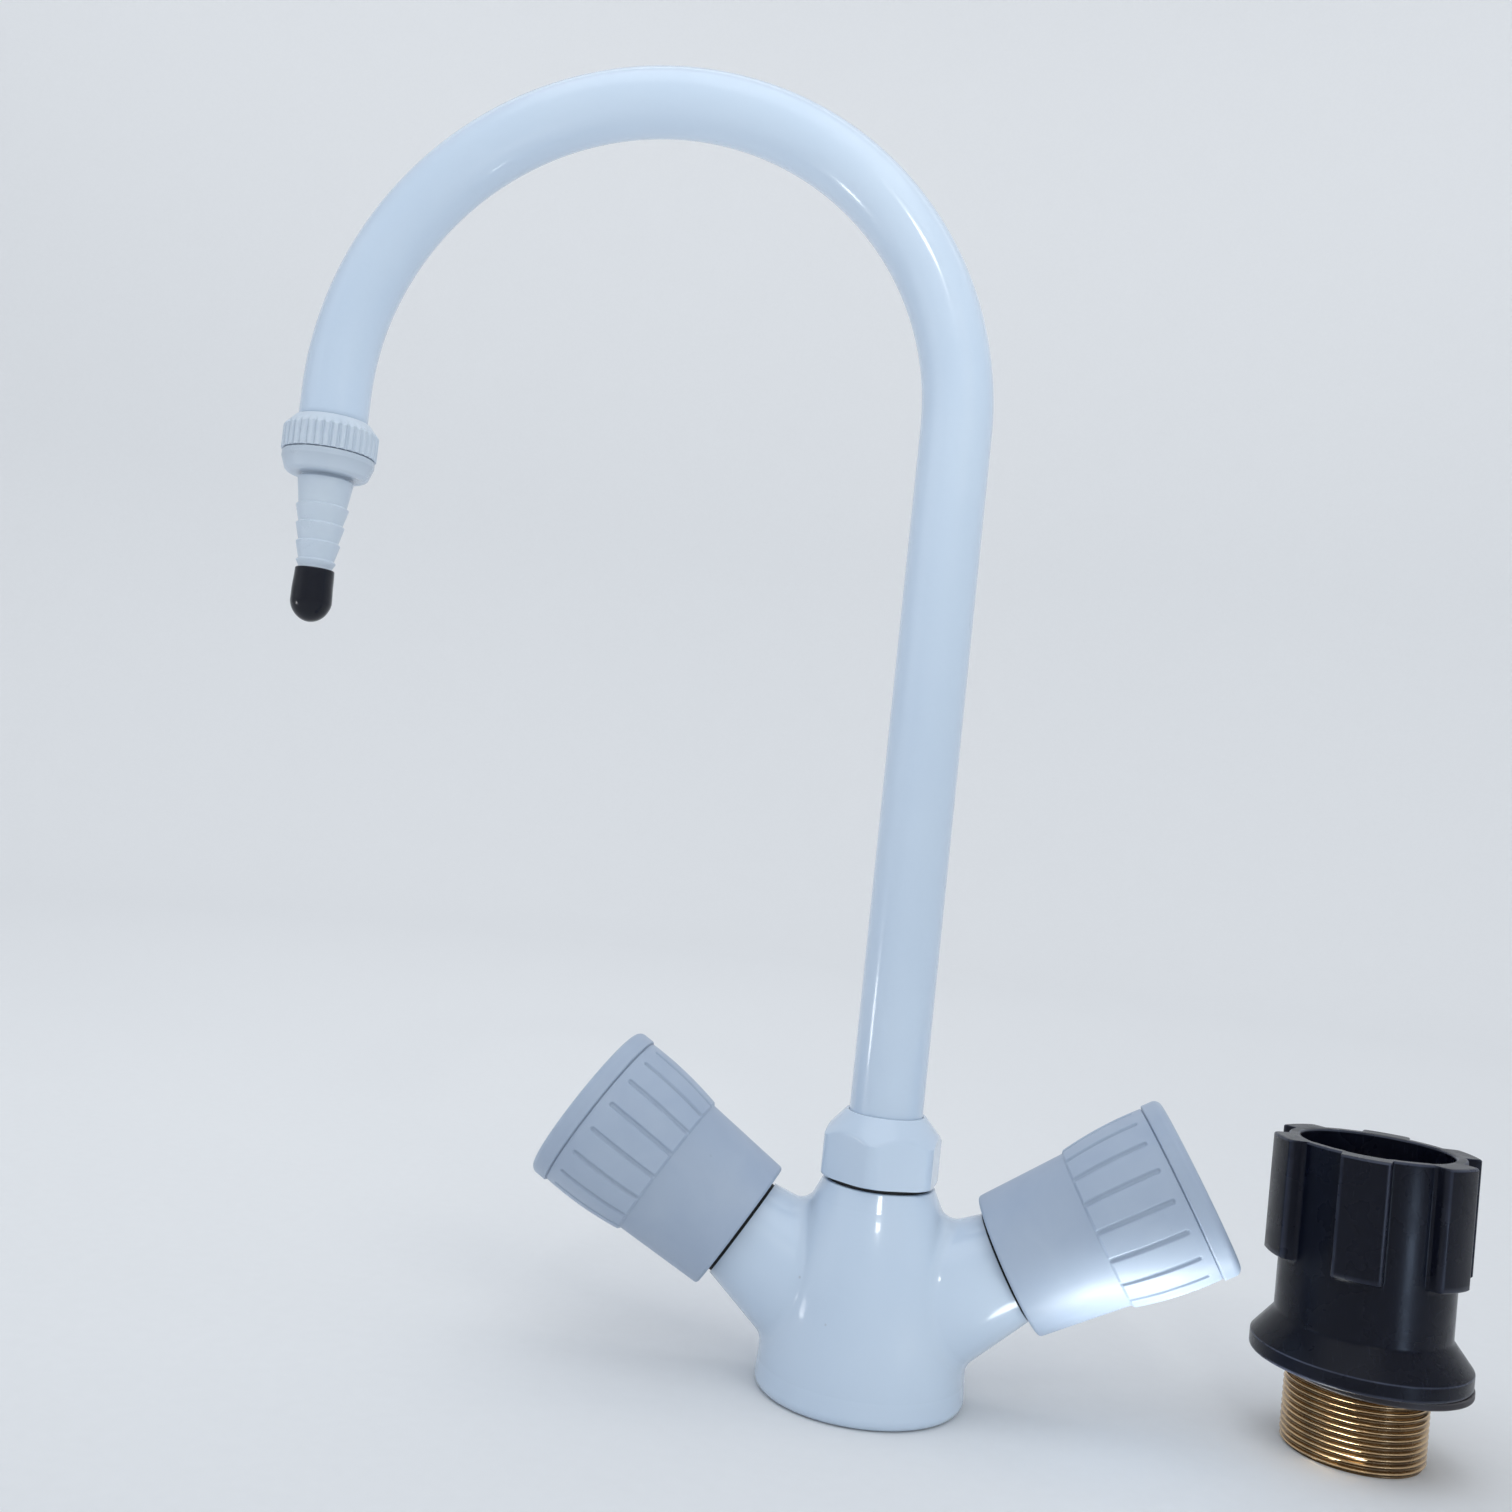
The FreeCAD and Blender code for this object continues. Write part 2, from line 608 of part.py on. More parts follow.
def make_body():
    """A turned bell with two tilted necks, blended at the joins and drilled from four sides."""
    body = new_body("mixer_body")
    bell = [
        (ZERO, ZERO),
        (half("base_diameter"), ZERO),
        (half("shoulder_diameter"), cell("shoulder_height")),
        Bow(cell("body_bulge_radius"), -1),
        (half("throat_diameter"), body_top - cell("spout_neck_height")),
        (half("spout_neck_diameter"), body_top),
        (ZERO, body_top),
    ]
    revolved(body, "bell", bell)
    neck = [
        (ZERO, cell("neck_start")),
        (half("neck_root_diameter"), cell("neck_start")),
        (half("neck_mouth_diameter"), neck_mouth),
        (ZERO, neck_mouth),
    ]
    rise = cell("neck_axis_height")
    revolved(body, "cold_neck", neck, tilt=-neck_tilt, rise=rise)
    revolved(body, "hot_neck", neck, tilt=neck_tilt, rise=rise)
    joins = junction_edges(body.Tip.Shape)
    softened(body, "blended_joins", joins, cell("junction_round"))
    foot_edge = circle_edges(body.Tip.Shape, [(half("base_diameter"), 0)])
    softened(body, "base_edge", foot_edge, cell("base_edge_round"))
    top_edge = circle_edges(body.Tip.Shape, [(half("spout_neck_diameter"), body_top)])
    softened(body, "mouth_edge", top_edge, cell("mouth_round"))

    thread_radius = half("spout_thread_diameter") + cell("thread_gap")
    spout_bore = [
        (ZERO, tail_foot - cell("mixing_depth")),
        (seal_bore_radius, tail_foot - cell("mixing_depth")),
        (seal_bore_radius, ledge),
        (thread_radius, ledge),
        (thread_radius, body_top + OVERRUN),
        (ZERO, body_top + OVERRUN),
    ]
    revolved(body, "spout_bore", spout_bore, cutting=True)
    socket = [(0, 0, half("shank_thread_diameter") + cell("thread_gap"))]
    extruded(body, "shank_socket", socket, -OVERRUN, cell("socket_depth") + OVERRUN, True)
    groove = [(0, 0, half("ring_groove_inside")), (0, 0, half("ring_groove_outside"))]
    groove_depth = cell("ring_groove_depth") + OVERRUN
    extruded(body, "gasket_groove", groove, -OVERRUN, groove_depth, True)

    port_places = [cell("port_spacing") / 2, -cell("port_spacing") / 2]
    port_radius = half("port_thread_diameter") + cell("thread_gap")
    ports = [(across, 0, port_radius) for across in port_places]
    drills = [(across, 0, half("inlet_diameter")) for across in port_places]
    extruded(body, "inlet_ports", ports, ZERO, cell("socket_depth") + cell("port_depth"), True)
    drill_top = cell("neck_axis_height") + half("port_spacing") * tangent(cell("neck_angle"))
    extruded(body, "inlet_ways", drills, ZERO, drill_top, True)

    chamber_floor = seat - cell("seat_rise")
    chamber_top = bonnet_foot - cell("bonnet_foot_gap")
    bonnet_bore = half("bonnet_thread_diameter") + cell("thread_gap")
    way = [
        (ZERO, cell("seat_way_start")),
        (half("seat_bore"), cell("seat_way_start")),
        (half("seat_bore"), seat),
        (half("seat_diameter"), seat),
        (half("seat_diameter"), chamber_floor),
        (half("chamber_diameter"), chamber_floor),
        (half("chamber_diameter"), chamber_top),
        (bonnet_bore, chamber_top),
        (bonnet_bore, neck_mouth + OVERRUN),
        (ZERO, neck_mouth + OVERRUN),
    ]
    revolved(body, "cold_valve_bore", way, True, -neck_tilt, rise)
    revolved(body, "hot_valve_bore", way, True, neck_tilt, rise)
    return body


pieces.append(make_body())

base_gasket = plain_ring(
    "base_gasket",
    half("ring_groove_inside") + cell("gasket_gap"),
    half("ring_groove_outside") - cell("gasket_gap"),
    ZERO,
    cell("ring_groove_depth") - cell("gasket_gap"),
)
pieces.append(base_gasket)

# The spout and its swivel joint


def make_pipe():
    """A tube swept up the riser, over the half circle and down to the outlet."""
    body = new_body("spout_pipe")
    section = new_sketch(body, "pipe_section", "XY_Plane", pipe_foot)
    draw_circle(section, 0, 0, pipe_radius)
    draw_circle(section, 0, 0, pipe_bore_radius)
    path = new_sketch(body, "pipe_path", "XZ_Plane")
    reach = -cell("spout_reach")
    stops = [
        (ZERO, pipe_foot),
        (ZERO, cell("arch_height")),
        (reach / 2, cell("arch_height") - reach / 2),
        (reach, cell("arch_height")),
        (reach, pipe_tip),
    ]
    spots = [Vector(across.value, up.value, 0) for across, up in stops]
    quarter = Bow(half("spout_reach"), -1)
    rising = path.addGeometry(Part.LineSegment(spots[0], spots[1]), False)
    first_arc, first_start, first_end = arc_between(spots[1], spots[2], quarter)
    second_arc, second_start, second_end = arc_between(spots[2], spots[3], quarter)
    over = path.addGeometry(first_arc, False)
    down = path.addGeometry(second_arc, False)
    falling = path.addGeometry(Part.LineSegment(spots[3], spots[4]), False)
    links = [
        (rising, 2, over, first_start),
        (over, first_end, down, second_start),
        (down, second_end, falling, 1),
    ]
    for link in links:
        path.addConstraint(Sketcher.Constraint("Coincident", *link))
    pin_point(path, rising, 1, stops[0])
    pin_point(path, rising, 2, stops[1])
    pin_point(path, over, first_end, stops[2])
    pin_point(path, falling, 1, stops[3])
    pin_point(path, falling, 2, stops[4])
    for arc in (over, down):
        held = path.addConstraint(Sketcher.Constraint("Radius", arc, quarter.radius.value))
        path.setExpression("Constraints[%d]" % held, quarter.radius.text)
    pipe = body.newObject("PartDesign::AdditivePipe", "bent_tube")
    pipe.Profile = section
    pipe.Spine = (path, ["Edge1", "Edge2", "Edge3", "Edge4"])
    checked(body, pipe, False)
    return body


def make_tail():
    """The turned brass foot of the spout, with grooves for two seals and the split ring."""
    body = new_body("spout_tail")
    spigot_top = pipe_foot + cell("spigot_length")
    outline = [
        (waterway_radius, tail_foot),
        (tail_radius, tail_foot),
        (tail_radius, ledge),
        (half("ring_neck_diameter"), ledge),
        (half("ring_neck_diameter"), split_ring_top),
        (tail_radius, split_ring_top),
        (tail_radius, pipe_foot),
        (spigot_radius, pipe_foot),
        (spigot_radius, spigot_top),
        (waterway_radius, spigot_top),
    ]
    revolved(body, "tail_turning", outline)
    floor = seal_bore_radius - cell("seal_nip") - cell("spout_seal_section")
    wide = cell("spout_seal_section") / 2 + cell("side_gap")
    for number in range(2):
        centre = spout_seal_low + cell("spout_seal_pitch") * number
        groove = tube_outline(floor, tail_radius + OVERRUN, centre - wide, centre + wide)
        revolved(body, "seal_groove_%d" % (number + 1), groove, cutting=True)
    return body


def make_split_ring():
    """The sprung ring that keeps the spout from lifting out of the body."""
    body = new_body("spout_split_ring")
    foot = ledge + cell("side_gap")
    inside = half("ring_neck_diameter") + cell("pipe_slip_gap")
    outside = half("split_ring_diameter")
    thick = cell("split_ring_thickness")
    revolved(body, "ring_turning", tube_outline(inside, outside, foot, foot + thick))
    slot = gap_outline(outside + OVERRUN, cell("split_ring_gap"))
    extruded(body, "spring_cut", [slot], foot - OVERRUN, thick + OVERRUN * 2, cutting=True)
    return body


def make_union_nut():
    """A hexagon bar turned to a sloping top, with a threaded skirt inside the body."""
    body = new_body("spout_union_nut")
    nut_top = nut_foot + cell("nut_height")
    slope_foot = nut_top - cell("nut_chamfer_drop")
    turned = half("nut_turned_diameter")
    corners = polygon(6, cell("nut_across_flats"), -90)
    extruded(body, "hexagon", [corners], nut_foot, cell("nut_height"))
    waste = corner_reach(6, cell("nut_across_flats")) + OVERRUN
    shape = [
        (turned, nut_foot - OVERRUN),
        (waste, nut_foot - OVERRUN),
        (waste, nut_top + OVERRUN),
        (half("nut_top_diameter"), nut_top + OVERRUN),
        (half("nut_top_diameter"), nut_top),
        (turned, slope_foot),
    ]
    revolved(body, "turned_corners", shape, cutting=True)
    skirt_top = nut_foot + OVERRUN
    skirt = tube_outline(ZERO, half("spout_thread_diameter"), split_ring_top, skirt_top)
    revolved(body, "threaded_skirt", skirt)
    step = pipe_foot + cell("nut_step_gap")
    bore = [
        (ZERO, split_ring_top - OVERRUN),
        (tail_radius + cell("side_gap"), split_ring_top - OVERRUN),
        (tail_radius + cell("side_gap"), step),
        (pipe_radius + cell("pipe_slip_gap"), step),
        (pipe_radius + cell("pipe_slip_gap"), nut_top + OVERRUN),
        (ZERO, nut_top + OVERRUN),
    ]
    revolved(body, "nut_bore", bore, cutting=True)
    return place(body, turn=cell("nut_angle"))


pieces.append(make_pipe())
pieces.append(make_tail())
spout_seal_centre = seal_bore_radius - cell("seal_nip") - cell("spout_seal_section") / 2
spout_seals = seal_pair(
    "spout_seals",
    spout_seal_centre,
    cell("spout_seal_section"),
    spout_seal_low,
    cell("spout_seal_pitch"),
)
pieces.append(spout_seals)
pieces.append(make_split_ring())
pieces.append(make_union_nut())
union_seal = plain_ring(
    "union_seal",
    half("spout_thread_diameter") + cell("gasket_gap"),
    half("nut_seal_diameter"),
    body_top,
    nut_foot,
)
pieces.append(union_seal)

# The headwork under each handle


def make_bonnet(side):
    """The brass housing that screws into the neck and guides plunger and spindle."""
    body = new_body(side + "_bonnet")
    thread_radius = half("bonnet_thread_diameter")
    outline = [
        (ZERO, bonnet_foot),
        (thread_radius, bonnet_foot),
        (thread_radius, bonnet_seat),
        (half("bonnet_flange_diameter"), bonnet_seat),
        (half("bonnet_flange_diameter"), bonnet_hex_foot),
        (half("bonnet_barrel_diameter"), bonnet_hex_foot),
        (half("bonnet_barrel_diameter"), bonnet_top),
        (ZERO, bonnet_top),
    ]
    revolved(body, side + "_bonnet_turning", outline)
    hexagon = polygon(6, cell("bonnet_across_flats"))
    hex_height = cell("bonnet_hex_height")
    extruded(body, side + "_bonnet_hexagon", [hexagon], bonnet_hex_foot, hex_height)
    guide = polygon(6, cell("guide_across_flats"))
    guide_length = cell("guide_depth") + OVERRUN
    extruded(body, side + "_guide", [guide], bonnet_foot - OVERRUN, guide_length, True)
    bore = [(0, 0, spindle_bore_radius)]
    bore_length = bonnet_top - guide_top + OVERRUN * 2
    extruded(body, side + "_spindle_bore", bore, guide_top - OVERRUN, bore_length, True)
    return body


def make_spindle(side):
    """The turning stem: a screw inside the plunger, a thrust collar and a square head."""
    body = new_body(side + "_spindle")
    collar_top = guide_top - cell("running_gap")
    collar_foot = collar_top - cell("spindle_collar_thickness")
    screw_foot = plunger_thread_foot + cell("plunger_lift") + cell("spindle_end_gap")
    neck_radius = half("circlip_neck_diameter")
    groove_top = circlip_top + cell("side_gap")
    outline = [
        (ZERO, screw_foot),
        (half("spindle_thread_diameter"), screw_foot),
        (half("spindle_thread_diameter"), collar_foot),
        (half("spindle_collar_diameter"), collar_foot),
        (half("spindle_collar_diameter"), collar_top),
        (spindle_radius, collar_top),
        (spindle_radius, bonnet_top),
        (neck_radius, bonnet_top),
        (neck_radius, groove_top),
        (ZERO, groove_top),
    ]
    revolved(body, side + "_spindle_turning", outline)
    floor = spindle_bore_radius - cell("seal_nip") - cell("spindle_seal_section")
    wide = cell("spindle_seal_section") / 2 + cell("side_gap")
    for number in range(2):
        centre = spindle_seal_low + cell("spindle_seal_pitch") * number
        groove = tube_outline(floor, spindle_radius + OVERRUN, centre - wide, centre + wide)
        revolved(body, "%s_stem_groove_%d" % (side, number + 1), groove, cutting=True)
    head = square(cell("spindle_square"))
    extruded(body, side + "_square_head", [head], groove_top, cell("spindle_square_length"))
    screw_hole = half("handle_screw_diameter") + cell("thread_gap")
    hole_foot = web_top - cell("handle_screw_length") - cell("screw_end_gap")
    hole_length = cell("handle_screw_length") + OVERRUN * 2
    extruded(body, side + "_screw_hole", [(0, 0, screw_hole)], hole_foot, hole_length, True)
    return body


def make_circlip(side):
    """The open ring that stops the spindle from dropping into the bonnet."""
    body = new_body(side + "_circlip")
    inside = half("circlip_neck_diameter") + cell("pipe_slip_gap")
    outside = half("circlip_diameter")
    revolved(body, side + "_clip_ring", tube_outline(inside, outside, circlip_foot, circlip_top))
    slot = gap_outline(outside + OVERRUN, cell("circlip_gap"))
    cut_length = cell("circlip_thickness") + OVERRUN * 2
    extruded(body, side + "_clip_gap", [slot], circlip_foot - OVERRUN, cut_length, cutting=True)
    return body


def make_plunger(side):
    """The hexagonal slider that the spindle's screw lifts off the seat."""
    body = new_body(side + "_plunger")
    flange_top = plunger_foot + cell("plunger_flange_thickness")
    flange = tube_outline(ZERO, half("plunger_flange_diameter"), plunger_foot, flange_top)
    revolved(body, side + "_plunger_flange", flange)
    hexagon = polygon(6, cell("guide_across_flats") - cell("guide_gap") * 2)
    hex_length = cell("plunger_length") - cell("plunger_flange_thickness")
    extruded(body, side + "_plunger_hexagon", [hexagon], flange_top, hex_length)
    thread_hole = half("spindle_thread_diameter") + cell("thread_gap")
    screw_hole = half("jumper_screw_diameter") + cell("thread_gap")
    hole_foot = plunger_foot - OVERRUN
    hole_depth = jumper_hole_top - hole_foot
    extruded(body, side + "_jumper_hole", [(0, 0, screw_hole)], hole_foot, hole_depth, True)
    thread_depth = cell("plunger_length")
    thread = [(0, 0, thread_hole)]
    extruded(body, side + "_plunger_thread", thread, plunger_thread_foot, thread_depth, True)
    return body


def make_jumper_screw(side):
    """The small screw that holds the rubber washer under the plunger."""
    body = new_body(side + "_washer_screw")
    head_foot = jumper_foot - cell("jumper_screw_head_height")
    outline = [
        (ZERO, head_foot),
        (half("jumper_screw_head"), head_foot),
        (half("jumper_screw_head"), jumper_foot),
        (half("jumper_screw_diameter"), jumper_foot),
        (half("jumper_screw_diameter"), jumper_foot + cell("jumper_screw_length")),
        (ZERO, jumper_foot + cell("jumper_screw_length")),
    ]
    revolved(body, side + "_washer_screw_turning", outline)
    return body


def make_handle(side):
    """The moulded handle: a smooth sleeve, a grooved band and a square-holed hub inside."""
    body = new_body(side + "_handle")
    band_large = half("band_large_diameter")
    skirt = half("skirt_bore")
    hub = half("hub_diameter")
    outline = [
        (skirt, handle_foot),
        (half("sleeve_small_diameter"), handle_foot),
        (half("sleeve_large_diameter"), handle_foot + cell("sleeve_length")),
        (half("band_small_diameter"), band_foot),
        Bow(cell("band_bulge_radius"), -1),
        (band_large, handle_top),
        (half("cap_bore"), handle_top),
        (half("cap_bore"), web_top),
        (ZERO, web_top),
        (ZERO, hub_foot),
        (hub, hub_foot),
        (hub, web_foot),
        (skirt, web_foot),
    ]
    revolved(body, side + "_handle_shell", outline)
    rim = circle_edges(body.Tip.Shape, [(half("sleeve_small_diameter"), handle_foot)])
    softened(body, side + "_handle_rim", rim, cell("sleeve_round"))
    hole = square(cell("spindle_square") + cell("square_gap") * 2)
    square_top = circlip_top + cell("side_gap") + cell("spindle_square_length")
    hole_foot = hub_foot - OVERRUN
    hole_length = square_top + cell("square_end_gap") - hole_foot
    extruded(body, side + "_square_hole", [hole], hole_foot, hole_length, True)
    screw_way = [(0, 0, half("handle_screw_diameter") + cell("side_gap"))]
    way_length = web_top - hub_foot + OVERRUN
    extruded(body, side + "_screw_way", screw_way, hub_foot, way_length, True)
    groove_ring(body, side)
    return body


def groove_ring(body, side):
    """The long grooves round the band, cut on a plane that leans with its slope."""
    side_plane = body.newObject("PartDesign::Plane", side + "_groove_side")
    side_plane.AttachmentSupport = [(origin_feature(body, "YZ_Plane"), "")]
    side_plane.MapMode = "FlatFace"
    side_plane.AttachmentOffset = Placement(Vector(), Rotation(Vector(0, 1, 0), 1))
    facing = cell(side + "_groove_angle") + FRONT
    side_plane.setExpression("AttachmentOffset.Rotation.Angle", facing.text)
    climb = half("band_large_diameter") - half("band_small_diameter")
    lean = slope_angle(climb, cell("band_length"))
    floor = half("band_small_diameter") - cell("groove_depth")
    sketch = body.newObject("Sketcher::SketchObject", side + "_groove_outline")
    sketch.AttachmentSupport = [(side_plane, "")]
    sketch.MapMode = "FlatFace"
    sketch.AttachmentOffset = Placement(Vector(), Rotation(Vector(1, 0, 0), 1))
    sketch.setExpression("AttachmentOffset.Rotation.Angle", lean.text)
    sketch.setExpression("AttachmentOffset.Base.y", band_foot.text)
    sketch.setExpression("AttachmentOffset.Base.z", floor.text)
    edge = cell("groove_width") / 2
    end = cell("groove_length")
    slot = [
        (-edge, -cell("band_step_length")),
        (edge, -cell("band_step_length")),
        (edge, end - edge),
        Bow(edge, -1),
        (ZERO, end),
        Bow(edge, -1),
        (-edge, end - edge),
    ]
    draw_loop(sketch, slot)
    groove = body.newObject("PartDesign::Pocket", side + "_groove")
    groove.Profile = sketch
    groove.Reversed = True
    groove.setExpression("Length", (cell("groove_depth") + climb + OVERRUN).text)
    checked(body, groove, True)
    ring_of(body, side + "_groove_ring", groove, cell("groove_count"), True)


def make_handle_screw(side):
    """The screw that draws the handle down onto the square."""
    body = new_body(side + "_handle_screw")
    outline = [
        (ZERO, web_top - cell("handle_screw_length")),
        (half("handle_screw_diameter"), web_top - cell("handle_screw_length")),
        (half("handle_screw_diameter"), web_top),
        (half("handle_screw_head"), web_top),
        (half("handle_screw_head"), web_top + cell("handle_screw_head_height")),
        (ZERO, web_top + cell("handle_screw_head_height")),
    ]
    revolved(body, side + "_handle_screw_turning", outline)
    top = web_top + cell("handle_screw_head_height")
    edge = circle_edges(body.Tip.Shape, [(half("handle_screw_head"), top)])
    softened(body, side + "_screw_dome", edge, cell("handle_screw_round"))
    return body


def make_cap(side):
    """The end cap, a shallow cup with a spigot that snaps into the handle."""
    body = new_body(side + "_handle_cap")
    cap_top = cap_foot + cell("cap_thickness")
    spigot = half("cap_bore") - cell("thread_gap")
    inside = spigot - cell("cap_wall")
    outline = [
        (ZERO, cap_top - cell("cap_wall")),
        (inside, cap_top - cell("cap_wall")),
        (inside, cap_foot - cell("cap_spigot_length")),
        (spigot, cap_foot - cell("cap_spigot_length")),
        (spigot, cap_foot),
        (half("cap_diameter"), cap_foot),
        (half("cap_diameter"), cap_top),
        (ZERO, cap_top),
    ]
    revolved(body, side + "_cap_turning", outline)
    lip = circle_edges(body.Tip.Shape, [(half("cap_diameter"), cap_foot)])
    softened(body, side + "_cap_lip", lip, cell("cap_lip_round"))
    rim = circle_edges(body.Tip.Shape, [(half("cap_diameter"), cap_top)])
    softened(body, side + "_cap_rim", rim, cell("cap_edge_round"))
    return body


for side, direction in (("hot", -1), ("cold", 1)):
    tilt = neck_tilt * direction
    rise = cell("neck_axis_height")
    gasket = plain_ring(
        side + "_bonnet_gasket",
        half("bonnet_thread_diameter") + cell("gasket_gap"),
        half("bonnet_flange_diameter") - cell("bonnet_gasket_inset"),
        neck_mouth,
        bonnet_seat,
    )
    jumper = plain_ring(
        side + "_seat_washer",
        half("jumper_screw_diameter") + cell("gasket_gap"),
        half("jumper_diameter"),
        jumper_foot,
        plunger_foot,
    )
    stem_seals = seal_pair(
        side + "_spindle_seals",
        spindle_bore_radius - cell("seal_nip") - cell("spindle_seal_section") / 2,
        cell("spindle_seal_section"),
        spindle_seal_low,
        cell("spindle_seal_pitch"),
    )
    level = [gasket, jumper, stem_seals, make_bonnet(side), make_plunger(side)]
    level += [make_spindle(side), make_circlip(side), make_jumper_screw(side)]
    level += [make_handle_screw(side), make_cap(side)]
    handle = make_handle(side)
    for item in level + [handle]:
        pieces.append(place(item, up=rise, tilt=tilt))

# The outlet, from the end of the pipe downwards

collar_foot = pipe_tip - cell("outlet_collar_thickness")
nozzle_top = collar_foot - cell("nozzle_gasket_thickness")
ring_nut_top = pipe_tip + cell("ring_nut_float") + cell("ring_nut_lip_thickness")
ring_nut_foot = ring_nut_top - cell("ring_nut_height")
flange_top = ring_nut_foot - cell("nozzle_seam")
flange_foot = flange_top - cell("nozzle_flange_thickness")
first_barb = flange_foot - cell("nozzle_neck_length")
last_barb = first_barb - cell("barb_span")
barb_end = last_barb - cell("barb_run_out")
nozzle_tip = barb_end - cell("nozzle_tip_length")


def make_outlet_collar():
    """The brass collar brazed into the pipe's end, which the ring nut pulls down."""
    body = new_body("outlet_collar")
    spigot_top = pipe_tip + cell("spigot_length")
    outline = [
        (waterway_radius, collar_foot),
        (half("outlet_collar_diameter"), collar_foot),
        (half("outlet_collar_diameter"), pipe_tip),
        (spigot_radius, pipe_tip),
        (spigot_radius, spigot_top),
        (waterway_radius, spigot_top),
    ]
    revolved(body, "outlet_collar_turning", outline)
    return body


def make_ring_nut():
    """The ribbed nut that hangs on the pipe's collar and holds the nozzle."""
    body = new_body("nozzle_ring_nut")
    lip = pipe_radius + cell("ring_nut_lip_gap")
    lip_foot = ring_nut_top - cell("ring_nut_lip_thickness")
    thread = half("outlet_thread_diameter") + cell("thread_gap")
    outline = [
        (thread, ring_nut_foot),
        (half("ring_nut_diameter"), ring_nut_foot),
        (half("ring_nut_diameter"), ring_nut_top - cell("ring_nut_slope_height")),
        (half("ring_nut_top_diameter"), ring_nut_top),
        (lip, ring_nut_top),
        (lip, lip_foot),
        (thread, lip_foot),
    ]
    revolved(body, "ring_nut_turning", outline)
    root = half("ring_nut_diameter") - cell("rib_depth")
    cut_depth = cell("rib_depth") + SHORT_OVERRUN
    spread = cell("rib_groove_width") / 2 * cut_depth / cell("rib_depth")
    notch = [(root, ZERO), (root + cut_depth, -spread), (root + cut_depth, spread)]
    notch_length = cell("ring_nut_height") + OVERRUN
    rib_gap = extruded(body, "rib_gap", [notch], ring_nut_foot - OVERRUN, notch_length, True)
    ring_of(body, "rib_gaps", rib_gap, cell("rib_count"), True)
    return body


def make_nozzle():
    """The hose nozzle: a threaded head, a round flange and a stem of stepped ridges."""
    body = new_body("hose_nozzle")
    steps = int(cell("barb_count").value) - 1
    drop = cell("barb_span") / steps
    shrink = (cell("nozzle_first_barb_diameter") - cell("nozzle_last_barb_diameter")) / steps
    ledge_size = cell("barb_step")
    stem = []
    for number in range(steps + 1):
        radius = (cell("nozzle_first_barb_diameter") - shrink * number) / 2
        height = first_barb - drop * number
        stem.append((radius - ledge_size, height + ledge_size))
        stem.append((radius, height))
    outline = [
        (half("nozzle_bore"), nozzle_tip),
        (half("nozzle_bore"), nozzle_top),
        (half("outlet_thread_diameter"), nozzle_top),
        (half("outlet_thread_diameter"), flange_top),
        (half("nozzle_flange_diameter"), flange_top),
        (half("nozzle_flange_diameter"), flange_foot),
        (half("nozzle_recess_diameter"), flange_foot),
        (half("nozzle_recess_diameter"), flange_foot - cell("nozzle_recess_height")),
        (half("nozzle_root_diameter"), flange_foot - cell("nozzle_recess_height")),
    ]
    outline += stem
    outline += [
        (half("nozzle_tip_diameter"), barb_end),
        (half("nozzle_tip_diameter"), nozzle_tip),
    ]
    revolved(body, "nozzle_turning", outline)
    flange = half("nozzle_flange_diameter")
    lower = circle_edges(body.Tip.Shape, [(flange, flange_foot)])
    softened(body, "flange_round", lower, cell("nozzle_flange_round"))
    return body


def make_plug():
    """The soft black cap pushed over the nozzle's tip."""
    body = new_body("nozzle_cap")
    inside = half("nozzle_tip_diameter") + cell("plug_gap")
    floor = nozzle_tip - cell("plug_gap")
    top = barb_end - cell("plug_seam")
    outline = [
        (ZERO, floor),
        (ZERO, nozzle_tip - cell("plug_end_length")),
        Bow(cell("plug_end_radius"), -1),
        (half("plug_diameter"), nozzle_tip + cell("plug_belly_lift")),
        (half("plug_top_diameter"), top),
        (inside, top),
        (inside, floor),
    ]
    revolved(body, "cap_dip", outline)
    return body


nozzle_gasket = plain_ring(
    "nozzle_gasket",
    half("nozzle_gasket_bore"),
    half("outlet_collar_diameter"),
    nozzle_top,
    collar_foot,
)
outlet = -cell("spout_reach")
for item in (make_outlet_collar(), make_ring_nut(), nozzle_gasket, make_nozzle(), make_plug()):
    pieces.append(place(item, across=outlet))

# The fixing set


def make_shank():
    """The threaded tube that screws into the body and passes through the worktop."""
    body = new_body("fixing_shank")
    radius = half("shank_thread_diameter")
    tube = tube_outline(half("shank_bore"), radius, ZERO, cell("shank_length"))
    revolved(body, "shank_tube", tube)
    rims = circle_edges(body.Tip.Shape, [(radius, 0), (radius, cell("shank_length"))])
    softened(body, "shank_edges", rims, cell("shank_edge"), "PartDesign::Chamfer")
    return body


